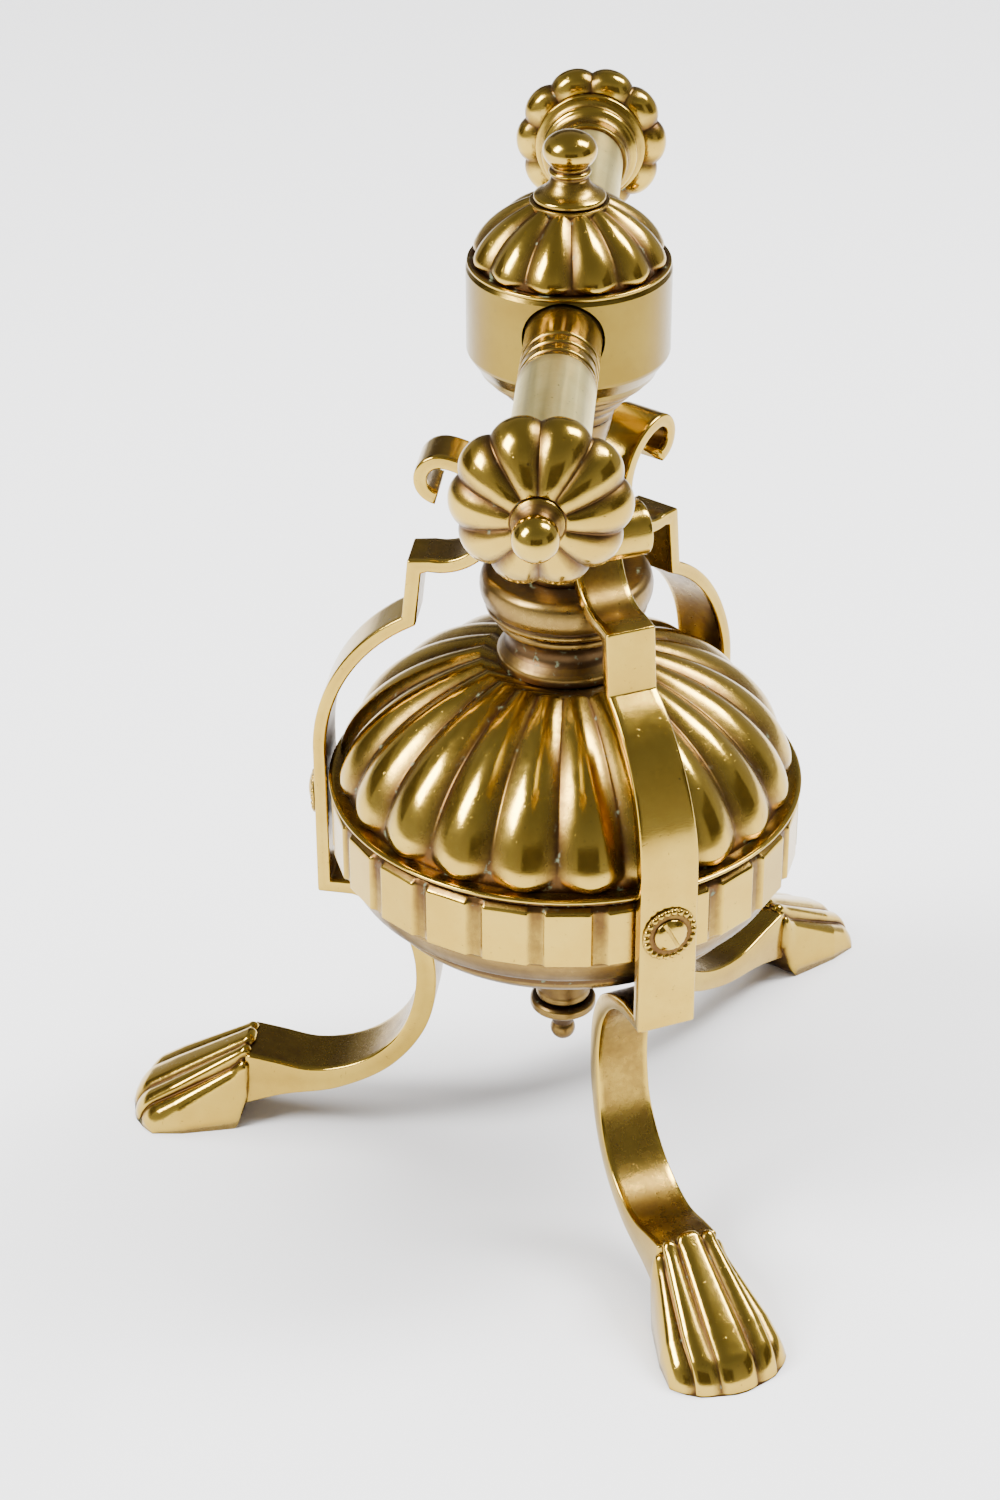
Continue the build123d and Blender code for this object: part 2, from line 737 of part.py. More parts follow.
def make_leg(name, angle, reach):
    """One casting: curl, scroll, step, shoulder, square bend, leg and shell foot."""
    ridge_r = reach - shell_length
    heel_r = ridge_r + heel_step
    sole_r = ridge_r - 7.5
    turn = angle + tripod_turn
    out = Vector(1, 0, 0).rotate(Axis.Z, turn)
    across = Vector(0, 1, 0).rotate(Axis.Z, turn)
    side_plane = Plane(origin=(0, 0, 0), x_dir=out, z_dir=across * -1)
    front_plane = Plane(origin=(0, 0, 0), x_dir=across, z_dir=out)
    scroll = (scroll_r, scroll_z)

    with BuildPart() as leg:
        with BuildSketch(side_plane):
            with BuildLine():
                ThreePointArc(
                    circle_point(curl_centre, inner_curl, curl_end),
                    circle_point(curl_centre, inner_curl, 10),
                    circle_point(scroll, inner_scroll, curl_start),
                )
                ThreePointArc(
                    circle_point(scroll, inner_scroll, curl_start),
                    circle_point(scroll, inner_scroll, 190),
                    circle_point(scroll, inner_scroll, 283),
                )
                Polyline(
                    circle_point(scroll, inner_scroll, 283),
                    (step_out, step_top),
                    (lean_out, step_bottom),
                )
                ThreePointArc(
                    (lean_out, step_bottom),
                    circle_point((arc_r, arc_foot), arc_radius, 30),
                    (strap_out, arc_foot),
                )
                Polyline(
                    (strap_out, arc_foot),
                    (strap_out, strap_foot),
                    (bend_r, strap_foot - 0.4),
                )
                Spline(
                    (bend_r, strap_foot - 0.4),
                    (bow_r + 5.5, strap_foot - 6.6),
                    (bow_r + 0.3, strap_foot - 18.0),
                    leg_point(ridge_r, 0.0, 0.603),
                    leg_point(ridge_r, 0.109, 0.423),
                    leg_point(ridge_r, 0.342, 0.303),
                    leg_point(ridge_r, 0.654, 0.256),
                    (ridge_r, ridge_z),
                    tangents=((-1, 0), (1, 0.75)),
                )
                Polyline(
                    (ridge_r, ridge_z),
                    (ridge_r + 4.0, ridge_z - 3.0),
                    (ridge_r + 4.0, 8.0),
                    (ridge_r - 1.5, 8.6),
                    (sole_r, 11.2),
                )
                Spline(
                    (sole_r, 11.2),
                    leg_point(ridge_r, 0.475, 0.185),
                    leg_point(ridge_r, 0.141, 0.3),
                    leg_point(ridge_r, -0.069, 0.474),
                    leg_point(ridge_r, -0.129, 0.667),
                    (bow_r - 2.3, strap_foot - 9.4),
                    (bow_r + 4.7, strap_foot - 1.2),
                    (bend_r, strap_foot + strap_thick),
                    tangents=((-1, 0.1), (1, 0)),
                )
                Polyline(
                    (bend_r, strap_foot + strap_thick),
                    (strap_in, strap_foot + strap_thick),
                    (strap_in, arc_foot),
                )
                ThreePointArc(
                    (strap_in, arc_foot),
                    circle_point((arc_r, arc_foot), arc_radius - strap_thick, 30),
                    (riser_low, riser_low_z),
                )
                Polyline(
                    (riser_low, riser_low_z),
                    (riser_in, step_top - strap_thick),
                    circle_point(scroll, scroll_radius, 280),
                )
                ThreePointArc(
                    circle_point(scroll, scroll_radius, 280),
                    circle_point(scroll, scroll_radius, 190),
                    circle_point(scroll, scroll_radius, curl_start),
                )
                ThreePointArc(
                    circle_point(scroll, scroll_radius, curl_start),
                    circle_point(curl_centre, curl_radius, 10),
                    circle_point(curl_centre, curl_radius, curl_end),
                )
                Line(
                    circle_point(curl_centre, curl_radius, curl_end),
                    circle_point(curl_centre, inner_curl, curl_end),
                )
            make_face()
        extrude(amount=foot_width / 2, both=True)
        with BuildSketch(front_plane):
            with BuildLine():
                right = [
                    (strap_narrow / 2, scroll_z + 2 * scroll_radius),
                    (strap_narrow / 2, step_bottom),
                    (strap_wide / 2, arc_foot + 8.0),
                    (strap_wide / 2, strap_foot),
                    (leg_width / 2, strap_foot - 8.0),
                    (leg_width / 2, ridge_z + 6.0),
                    (ridge_width / 2, ridge_z - 6.0),
                    (ridge_width / 2, 0.0),
                ]
                Polyline(*right, *[(-x, z) for x, z in reversed(right)], close=True)
            make_face()
        extrude(amount=reach, mode=Mode.INTERSECT)
        for at, half_width, high, low in (
            (ridge_r - 0.5, ridge_width / 2 + 0.4, ridge_z - 0.3, 8.0),
            (ridge_r + 11.0, foot_width / 2 - 3.6, ridge_z - 7.2, 2.6),
            (reach - 11.0, foot_width / 2 - 0.8, 10.2, -sole_trim),
            (reach, foot_width / 2, 3.4, -sole_trim),
        ):
            with BuildSketch(Plane(origin=out * at, x_dir=across, z_dir=out)):
                with BuildLine():
                    arch = shell_arch(half_width, high - low, low)
                    for start, crest, end in arch:
                        ThreePointArc(start, crest, end)
                    Line(arch[-1][2], arch[0][0])
                make_face()
        loft(ruled=True)
        with BuildSketch(Plane.XY):
            with Locations(out * (reach - toe_round)):
                Circle(toe_round)
            with Locations(out * ((reach - toe_round) / 2)):
                Rectangle(reach - toe_round, 2 * toe_round, rotation=turn)
        extrude(amount=scroll_z + 2 * scroll_radius, mode=Mode.INTERSECT)
        with BuildSketch(side_plane):
            with BuildLine():
                Polyline((sole_r, 11.0), (ridge_r, 6.6), (heel_r, 0.0), (heel_r + 4.5, 0.0))
                ThreePointArc(
                    (heel_r + 4.5, 0.0),
                    (heel_r + 13.0, 3.4),
                    (reach - 6.0, 0.0),
                )
                Polyline((reach - 6.0, 0.0), (reach - 6.0, -2.0), (sole_r, -2.0), (sole_r, 11.0))
            make_face()
        extrude(amount=foot_width, both=True, mode=Mode.SUBTRACT)
        with BuildSketch(side_plane):
            with BuildLine():
                Polyline(
                    (ridge_r - 2.0, ridge_z - 6.0),
                    (ridge_r + 6.0, ridge_z - 8.0),
                    (heel_r + 6.0, 1.2),
                    (heel_r + 1.0, 0.0),
                    (heel_r, 0.0),
                    (ridge_r - 4.5, 9.0),
                    (ridge_r - 2.0, ridge_z - 6.0),
                )
            make_face()
        extrude(amount=ridge_width / 2 - 1.0, both=True)
        with BuildSketch(Plane(origin=Vector(0, 0, screw_height), z_dir=out)):
            Circle(band_screw_shank + slip)
        extrude(amount=reach, mode=Mode.SUBTRACT)
    save(leg, "leg_" + name)


for leg_name, leg_angle in leg_angles.items():
    make_leg(leg_name, leg_angle, foot_reach * reach_shares[leg_name])

# ================= band screws =================
washer_back = strap_out + slip


def around_band(radius):
    """Planes facing outwards at the three screw places, at a radius from the axis."""
    planes = []
    for angle in leg_angles.values():
        way = Vector(1, 0, 0).rotate(Axis.Z, angle + tripod_turn)
        planes.append(Plane(origin=way * radius + Vector(0, 0, screw_height), z_dir=way))
    return planes


with BuildPart() as band_screw_washers:
    for plane in around_band(washer_back):
        with BuildSketch(plane):
            Circle(bead_ring - bead_radius)
            Circle(band_screw_shank + slip, mode=Mode.SUBTRACT)
        extrude(amount=0.9)
        with BuildSketch(plane):
            with PolarLocations(bead_ring - bead_radius, bead_count):
                Circle(bead_radius)
        extrude(amount=1.3)
save(band_screw_washers, "band_screw_washers")

with BuildPart() as band_screws:
    for plane in around_band(washer_back + 0.95):
        with BuildSketch(plane):
            Circle(band_screw_head)
        extrude(amount=1.9, taper=22)
        with BuildSketch(plane):
            Circle(band_screw_shank)
        extrude(amount=-(washer_back + 0.95 - band_bore + 4.0))
        with BuildSketch(plane.offset(1.1)):
            Rectangle(0.9, 2 * band_screw_head)
        extrude(amount=1.0, mode=Mode.SUBTRACT)
save(band_screws, "band_screws")

with BuildPart() as band_nuts:
    for plane in around_band(band_bore * cos(radians(6)) - 0.1):
        with BuildSketch(plane):
            RegularPolygon(3.8, 6)
            Circle(band_screw_shank + thread_gap, mode=Mode.SUBTRACT)
        extrude(amount=-2.6)
save(band_nuts, "band_nuts")
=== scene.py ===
from math import cos, pi, radians, sin, sqrt

import bmesh
import bpy
import numpy as np
from mathutils import Matrix, Vector


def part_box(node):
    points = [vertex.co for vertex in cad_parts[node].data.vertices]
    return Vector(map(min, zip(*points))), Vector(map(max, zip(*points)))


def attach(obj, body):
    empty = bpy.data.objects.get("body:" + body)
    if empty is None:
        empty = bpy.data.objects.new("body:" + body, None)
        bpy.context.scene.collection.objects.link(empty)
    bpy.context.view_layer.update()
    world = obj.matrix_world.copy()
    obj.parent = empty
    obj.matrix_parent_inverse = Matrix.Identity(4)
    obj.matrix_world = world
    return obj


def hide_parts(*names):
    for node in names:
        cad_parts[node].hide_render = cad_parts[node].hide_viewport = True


# Brass fire dog. Lengths below are millimetres in the frame's own axes; add_piece() turns them
# into metres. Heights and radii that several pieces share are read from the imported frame.

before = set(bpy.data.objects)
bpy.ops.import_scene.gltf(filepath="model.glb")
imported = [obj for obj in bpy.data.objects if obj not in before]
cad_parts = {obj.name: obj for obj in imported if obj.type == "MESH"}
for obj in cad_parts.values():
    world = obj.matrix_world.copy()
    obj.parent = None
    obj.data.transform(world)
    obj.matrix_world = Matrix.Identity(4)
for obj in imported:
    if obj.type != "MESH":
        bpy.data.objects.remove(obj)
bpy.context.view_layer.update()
MM = 0.001


def heights(node):
    """Lowest and highest level of a CAD node, in millimetres."""
    low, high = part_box(node)
    return low.z / MM, high.z / MM


def reach(node):
    """Largest distance of a CAD node from the column's axis along X, in millimetres."""
    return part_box(node)[1].x / MM


# ---- levels and radii from the frame
tripod_turn = -3.4
leg_angles = {"front": -60.0, "rear": 60.0, "left": 180.0}
foot_reach = 118.5
reach_shares = {"front": 0.95, "rear": 1.09, "left": 1.0}
band_bottom, rim_height = heights("bowl_band")
rim_radius = reach("bowl_band")
neck_base, cup_top = heights("neck_cup")
stem_top = heights("stem")[1]
drum_foot, drum_top = heights("head_drum")
drum_radius = reach("head_drum")
finial_foot, finial_top = heights("top_finial")
tube_low, tube_high = heights("crossbar_tube_front")
bar_height = (tube_low + tube_high) / 2
bar_radius = (tube_high - tube_low) / 2
core_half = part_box("crossbar_tube_rear")[0].y / MM
knob_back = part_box("knob_rear")[0].y / MM
knob_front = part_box("knob_rear")[1].y / MM
nut_tip, nut_top = heights("pendant_nut")
boss_bottom, boss_top = heights("lower_boss")
ring_bottom = band_bottom - 16.5


# ================= mesh tools =================
def smooth_line(points, count):
    """Points along a smooth curve through the given ones."""
    points = np.asarray(points, float)
    at = np.concatenate([[0], np.cumsum(np.linalg.norm(np.diff(points, axis=0), axis=1))])
    slope = np.gradient(points, at, axis=0)
    where = np.linspace(0, at[-1], count)
    i = np.clip(np.searchsorted(at, where, "right") - 1, 0, len(at) - 2)
    h = (at[i + 1] - at[i])[:, None]
    t = (where - at[i])[:, None] / h
    return (
        (2 * t**3 - 3 * t**2 + 1) * points[i] + (t**3 - 2 * t**2 + t) * h * slope[i]
        + (3 * t**2 - 2 * t**3) * points[i + 1] + (t**3 - t**2) * h * slope[i + 1]
    )


def rounded_line(points, steps=4, near=0.35):
    """A polyline whose corners are rounded: each point is (x, y, how far the rounding cuts back, value)."""
    points = np.asarray(points, float)
    line = []
    last = len(points) - 1
    for i in range(len(points)):
        here = points[i]
        if i in (0, last):
            line.append(here[[0, 1, 3]])
        else:
            before, after = points[i - 1], points[i + 1]
            gap_before = np.linalg.norm((before - here)[:2])
            gap_after = np.linalg.norm((after - here)[:2])
            cut = min(here[2], 0.45 * gap_before, 0.45 * gap_after)
            start = here + (before - here) * cut / gap_before
            end = here + (after - here) * cut / gap_after
            for t in np.linspace(0, 1, steps + 1):
                p = start * (1 - t) ** 2 + here * 2 * t * (1 - t) + end * t**2
                line.append([p[0], p[1], here[3]])
        if i < last:
            nxt = points[i + 1]
            length = np.linalg.norm((nxt - here)[:2])
            trim_here = 0 if i == 0 else min(here[2], 0.45 * length)
            trim_next = 0 if i + 1 == last else min(nxt[2], 0.45 * length)
            hold = min(near, 0.2 * (length - trim_here - trim_next))
            for at in (trim_here + hold, length - trim_next - hold):
                p = here + (nxt - here) * at / length
                line.append([p[0], p[1], here[3] + (nxt[3] - here[3]) * at / length])
    return np.array(line, float)


def upright(r, angle, height):
    """Points round the column from arrays of radius, angle in radians and height."""
    return np.stack(np.broadcast_arrays(r * np.cos(angle), r * np.sin(angle), height), -1)


def along_bar(r, angle, distance, side):
    """Points round the crossbar at a distance out from the column."""
    return np.stack(np.broadcast_arrays(r * np.cos(angle), side * distance,
                                        bar_height + r * np.sin(angle)), -1)


def turned(profile, place=upright, segments=128):
    """Rows of a turned shape, and its patina, from a profile of (radius, level, rounding, patina)."""
    line = rounded_line(profile)
    around = np.linspace(0, 2 * pi, segments, endpoint=False)[None, :]
    rows = place(line[:, :1], around, line[:, 1:2])
    return rows, np.repeat(line[:, 2:3], segments, axis=1), False


def add_piece(name, shells, body, slot, stands_for):
    """One object from shells of rows: each row is a closed loop, joined to the next and capped."""
    points, patina, faces = [], [], []
    for rows, dull, ring in shells:
        start = sum(len(p) for p in points)
        count, size = rows.shape[:2]
        index = start + np.arange(count * size).reshape(count, size)
        points.append(rows.reshape(-1, 3))
        patina.append(np.broadcast_to(dull, (count, size)).reshape(-1))
        if ring:
            index = np.vstack([index, index[:1]])
        near, far = index[:-1], index[1:]
        quads = np.stack([near, np.roll(near, -1, 1), np.roll(far, -1, 1), far], -1)
        faces += quads.reshape(-1, 4).tolist()
        if not ring:
            faces += [index[0][::-1].tolist(), index[-1].tolist()]
    mesh = bpy.data.meshes.new(name)
    mesh.from_pydata((np.concatenate(points) * MM).tolist(), [], faces)
    mesh.attributes.new("patina", "FLOAT", "POINT").data.foreach_set(
        "value", np.concatenate(patina).astype(np.float32))
    work = bmesh.new()
    work.from_mesh(mesh)
    bmesh.ops.remove_doubles(work, verts=work.verts, dist=2e-7)
    bmesh.ops.recalc_face_normals(work, faces=work.faces)
    for face in work.faces:
        face.smooth = True
    work.to_mesh(mesh)
    work.free()
    piece = bpy.data.objects.new(name, mesh)
    bpy.context.scene.collection.objects.link(piece)
    mesh.materials.append(finishes[slot])
    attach(piece, body)
    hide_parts(*stands_for)
    return piece


# ================= finishes =================
def link_nodes(tree, kind, settings=None, **inputs):
    """A node with its settings and inputs; an input is a value or another node's output."""
    made = tree.nodes.new(kind)
    for key, value in (settings or {}).items():
        setattr(made, key, value)
    for key, value in inputs.items():
        socket = made.inputs[int(key[1:])] if key[0] == "i" and key[1:].isdigit() else made.inputs[key]
        if isinstance(value, bpy.types.NodeSocket):
            tree.links.new(value, socket)
        else:
            socket.default_value = value
    return made


def brass(name, clean, dull, base_patina, shine, dull_rough, streaks=0.0):
    """Polished metal with oxide where the patina attribute holds it; tight corners, found by an occlusion
    node, are darkened as well, partly oxide and partly painted shade.
    """
    material = bpy.data.materials.new(name)
    material.use_nodes = True
    tree = material.node_tree
    shader = tree.nodes["Principled BSDF"]
    place = link_nodes(tree, "ShaderNodeTexCoord").outputs["Object"]

    def noise(scale, detail, stretch=(1, 1, 1)):
        mapped = link_nodes(tree, "ShaderNodeMapping", Vector=place, Scale=stretch).outputs[0]
        return link_nodes(tree, "ShaderNodeTexNoise", Vector=mapped, Scale=scale, Detail=detail,
                          Roughness=0.6).outputs[0]

    def calc(kind, a, b, c=0.5):
        return link_nodes(tree, "ShaderNodeMath", {"operation": kind}, i0=a, i1=b, i2=c).outputs[0]

    def remap(value, low, high, to_low, to_high):
        return link_nodes(tree, "ShaderNodeMapRange", Value=value, i1=low, i2=high, i3=to_low,
                          i4=to_high).outputs[0]

    held = link_nodes(tree, "ShaderNodeAttribute", {"attribute_name": "patina"}).outputs["Fac"]
    cloud = noise(70, 4)
    fine = noise(420, 6)
    # Occlusion within 4 mm pulls tight corners towards the dull colour: partly oxide, partly painted shade.
    corner = link_nodes(tree, "ShaderNodeAmbientOcclusion", {"samples": 4}, Distance=0.004).outputs["AO"]
    corner_oxide_and_shade = remap(corner, 0.35, 0.85, 0.55, 0.0)
    spread = remap(cloud, 0.3, 0.7, -0.16, 0.16)
    mottled = remap(fine, 0.3, 0.7, -0.09, 0.09)
    amount = calc("ADD", calc("ADD", held, base_patina), corner_oxide_and_shade)
    worn = calc("MULTIPLY", calc("ADD", spread, mottled), remap(amount, 0.0, 0.4, 0.25, 1.0))
    mask = link_nodes(tree, "ShaderNodeClamp", Value=calc("ADD", amount, worn)).outputs[0]
    warm = link_nodes(tree, "ShaderNodeMix", {"data_type": "RGBA"}, i0=remap(cloud, 0.35, 0.65, 0, 1),
                      i6=(*clean, 1), i7=(clean[0] * 0.94, clean[1] * 0.90, clean[2] * 0.80, 1)).outputs[2]
    metal = link_nodes(tree, "ShaderNodeMix", {"data_type": "RGBA"}, i0=mask, i6=warm,
                       i7=(*dull, 1)).outputs[2]
    green_spots = calc("MULTIPLY", remap(mask, 0.9, 1.0, 0, 0.8), remap(noise(420, 4), 0.60, 0.70, 0, 1))
    pits = remap(noise(950, 2), 0.27, 0.31, 1.0, 0.0)
    pitted = link_nodes(tree, "ShaderNodeMix", {"data_type": "RGBA"}, i0=calc("MULTIPLY", pits, 0.55),
                        i6=metal,
                        i7=(0.10, 0.06, 0.025, 1)).outputs[2]
    colour = link_nodes(tree, "ShaderNodeMix", {"data_type": "RGBA"}, i0=green_spots, i6=pitted,
                        i7=(0.20, 0.26, 0.16, 1)).outputs[2]
    rough = calc("ADD", remap(mask, 0.0, 1.0, shine, dull_rough), remap(fine, 0.3, 0.7, -0.02, 0.03))
    if streaks:
        lines = noise(260, 5, (1, 0.02, 1))
        rough = calc("ADD", rough, remap(lines, 0.35, 0.65, 0, streaks))
    rough = calc("ADD", rough, calc("MULTIPLY", green_spots, 0.4))
    scratch = noise(500, 4, (1, 0.25, 3.0))
    height = calc("ADD", calc("MULTIPLY", scratch, 0.35), calc("MULTIPLY", pits, -0.6))
    height = calc("ADD", height, calc("MULTIPLY", calc("MULTIPLY", fine, mask), 1.2))
    bump = link_nodes(tree, "ShaderNodeBump", Strength=0.22, Distance=0.0002, Height=height).outputs[0]
    for socket, value in (("Base Color", colour), ("Roughness", rough), ("Normal", bump),
                          ("Metallic", remap(green_spots, 0, 1, 1.0, 0.35))):
        tree.links.new(value, shader.inputs[socket])
    return material


finishes = {
    "polished_brass": brass("polished_brass", (0.55, 0.37, 0.062), (0.10, 0.05, 0.017), 0.0, 0.14, 0.36),
    # The drum's brass is darkened well below the polished brass to stand for the dark surroundings it would
    # mirror: painted shade.
    "drum_painted_shade_brass": brass("drum_painted_shade_brass", (0.24, 0.162, 0.028), (0.09, 0.05, 0.018), 0.04, 0.20, 0.36),
    "satin_brass": brass("satin_brass", (0.90, 0.78, 0.34), (0.26, 0.16, 0.06), 0.0, 0.32, 0.42,
                         streaks=0.16),
    # Darker brass for the neck, stem, head base and the parts under the bowl: partly tarnish, partly
    # painted shade standing for the dark surroundings they mirror.
    "aged_brass": brass("aged_brass", (0.34, 0.22, 0.055), (0.085, 0.048, 0.02), 0.3, 0.20, 0.40),
}

# ================= column =================
d = neck_base
add_piece("neck_cup", [turned([
    (4.0, d, 0, 1), (17.2, d, 0.2, 0.9), (17.2, d + 2.2, 0.5, 0.2), (16.0, d + 3.8, 0.8, 0.5),
    (14.5, d + 5.4, 1.5, 0.9),
    (14.2, d + 8.2, 1.8, 0.9), (15.8, d + 10.4, 0.8, 0.7), (17.6, d + 11.0, 0.5, 0.2),
    (17.8, d + 12.5, 0.5, 0.2),
    (17.0, d + 13.1, 0.2, 1.0), (18.0, d + 13.7, 0.3, 0.8), (19.6, d + 14.1, 0.4, 0.2),
    (20.2, d + 15.2, 0.6, 0.2),
    (19.7, d + 16.3, 0.2, 1.0), (20.6, d + 17.0, 0.6, 0.4), (21.2, d + 18.6, 1.2, 0.2),
    (21.5, d + 21.0, 1.6, 0.2),
    (20.9, d + 23.6, 1.0, 0.3), (19.5, cup_top, 0.6, 0.4), (12.4, cup_top, 0.3, 0.8), (4.0, cup_top, 0, 1),
], segments=160)], "stand", "aged_brass", ["neck_cup"])
add_piece("stem", [turned([
    (5.6, cup_top, 0, 1), (11.8, cup_top, 0.3, 0.8), (11.8, cup_top + 1.7, 0.7, 0.1),
    (9.9, cup_top + 2.4, 0.4, 0.8),
    (9.1, cup_top + 3.8, 0.8, 0.4), (9.1, stem_top - 7.5, 3.0, 0.1), (10.6, stem_top - 1.4, 0.8, 0.2),
    (10.6, stem_top, 0.3, 0.6), (5.6, stem_top, 0, 1),
], segments=96)], "stand", "aged_brass", ["stem"])

# ================= head =================
base = heights("head_base")[0]
add_piece("head_base", [turned([
    (3.0, base, 0, 1), (11.0, base, 0.3, 0.6), (11.0, base + 1.5, 0.3, 0.1), (11.8, base + 3.0, 0.8, 0.7),
    (13.4, base + 3.8, 0.3, 0.3), (13.6, base + 5.0, 0.4, 0.1), (15.6, base + 6.4, 0.9, 0.8),
    (16.1, base + 7.0, 0.3, 0.3),
    (16.3, base + 8.0, 0.4, 0.1), (18.6, base + 9.2, 0.9, 0.8), (19.3, base + 9.8, 0.3, 0.2),
    (19.6, base + 10.9, 0.4, 0.1),
    (18.9, drum_foot, 0.3, 0.9), (17.7, drum_foot, 0, 1), (3.0, drum_foot + 2.5, 0, 1),
], segments=128)], "head", "aged_brass", ["head_base"])


def lobed_dome(lobes, turn, per_lobe, spine, normal, depth, end_length, bulge, neck_dull, valley):
    """Rows of a dome of convex lobes that stand up from a plain surface and end round at the bottom.

    spine is the crest's line from the foot up, as (radius, height); depth is how deep the valleys are
    along it; bulge shapes a lobe from a full curve (small) to one with wide coves (large)."""
    across = np.linspace(-1, 1, per_lobe, endpoint=False)
    across = np.sign(across) * np.abs(across) ** 0.85
    angle = np.concatenate([
        radians(turn) + 2 * pi / lobes * (i + 0.5 + across / 2) for i in range(lobes)])[None, :]
    u = np.tile(across, lobes)[None, :]
    run_up = np.concatenate([[0], np.cumsum(np.linalg.norm(np.diff(spine, axis=0), axis=1))])[:, None]
    edge = np.sqrt(np.clip(1 - (np.clip(end_length - run_up, 0, None) / end_length) ** 2, 0.0, 1))
    inside = np.clip(np.abs(u) / np.maximum(edge, 1e-3), 0, 1)
    lift = (1 - inside**2.0) ** bulge * edge**0.7
    down = depth[:, None] * (1 - lift)
    r = spine[:, :1] - normal[:, :1] * down
    z = spine[:, 1:2] - normal[:, 1:2] * down
    dull = np.clip((inside - valley) / (1 - valley), 0, 1) ** 0.9
    height = run_up / run_up[-1]
    near_neck = neck_dull * np.clip(height * 2.2 - 1.1, 0, 1)
    dull = np.maximum(dull * 0.95, near_neck * (0.35 + 0.65 * inside**2))
    return upright(r, angle, z), dull


def crest_line(centre, radius, rise, power, low, high, count):
    """The crest of a dome between two heights, with its outward normals."""
    a_low = np.arcsin(((low - centre) / rise) ** (power / 2))
    a_high = np.arcsin(((high - centre) / rise) ** (power / 2))
    a = np.linspace(a_low, a_high, count)
    line = np.stack([radius * np.cos(a) ** (2 / power), centre + rise * np.sin(a) ** (2 / power)], -1)
    way = np.gradient(line, axis=0)
    normal = np.stack([way[:, 1], -way[:, 0]], -1)
    return line, normal / np.linalg.norm(normal, axis=1)[:, None]


dome_base = drum_top + 1.5
spine, normal = crest_line(dome_base - 1.0, drum_radius - 0.8, 16.9, 1.71, dome_base - 0.35,
                           finial_foot - 0.3, 56)
rows, dull = lobed_dome(12, -85.0, 32, spine, normal, np.linspace(1.6, 1.0, 56), 2.6, 1.25, 0.6, 0.38)
rim_of_head = turned([
    (18.5, drum_top - 2, 0, 1), (20.4, drum_top - 2, 0.1, 1), (20.4, drum_top - 0.05, 0.1, 1),
    (drum_radius - 0.6, drum_top, 0.1, 0.9),
    (drum_radius - 0.25, drum_top + 0.35, 0.25, 0.1), (drum_radius - 0.25, drum_top + 0.95, 0.3, 0.0),
    (drum_radius - 1.2, drum_top + 1.1, 0.3, 0.8), (drum_radius - 2.4, drum_top + 0.8, 0.6, 0.9),
    (drum_radius - 4.5, drum_top + 1.0, 0, 1),
], segments=192)
skirt_seat = turned([
    (3.0, finial_foot - 3.5, 0, 1), (9.2, finial_foot - 2.2, 0.2, 1), (9.3, finial_foot - 0.25, 0.3, 0.5),
    (3.0, finial_foot - 0.25, 0, 1)], segments=96)
add_piece("dome_cap", [(rows, dull, False), rim_of_head, skirt_seat], "head", "polished_brass",
          ["dome_cap"])

bun, bun_rise = 6.3, 4.6
bun_at = finial_top - bun_rise
f = finial_foot
neck = bun_at - bun_rise - 0.6
bun_line = [
    (bun * cos(radians(a)), bun_at + bun_rise * sin(radians(a)), 0.5, 0.0) for a in range(-46, 90, 7)]
add_piece("top_finial", [turned([
    (2.6, f, 0, 1), (8.4, f, 0.2, 0.8), (8.4, f + 0.9, 0.4, 0.0), (7.5, f + 1.5, 0.6, 0.3),
    (6.2, f + 2.2, 0.7, 0.5),
    (5.0, f + 3.5, 0.7, 0.6), (4.4, f + 4.8, 0.7, 0.6), (4.05, neck - 1.2, 0.6, 0.7),
    (4.05, neck - 0.5, 0.2, 0.9),
    (4.75, neck - 0.25, 0.25, 0.1), (5.0, neck + 0.25, 0.3, 0.0), (4.7, neck + 0.75, 0.25, 0.2),
    (4.1, neck + 1.0, 0.15, 0.9), *bun_line, (0, finial_top, 0, 0),
], segments=96)], "finial", "polished_brass", ["top_finial"])


# ================= crossbar =================
def tube_line(side):
    return lambda r, angle, distance: along_bar(r, angle, distance, side)


collar, groove = bar_radius + 0.05, 0.55
core_line = [(7.0, 6.0, 0, 1), (collar, 6.0, 0.1, 0.9), (collar, 22.0, 1.0, 0.75),
             (collar - 0.1, 27.0, 3.0, 0.35)]
for at in (core_half - 11.0, core_half - 6.5, core_half - 2.0):
    core_line += [(collar, at - 0.75, 0.2, 0.15), (collar - groove, at - 0.2, 0.1, 1.0),
                  (collar - groove, at + 0.2, 0.1, 1.0), (collar, at + 0.75, 0.2, 0.15)]
core_line += [(collar, core_half - 0.1, 0.1, 0.2), (7.0, core_half - 0.1, 0, 1)]
add_piece("bar_core", [turned(core_line, tube_line(side), 96) for side in (-1, 1)], "head",
          "polished_brass",
          ["bar_core"])


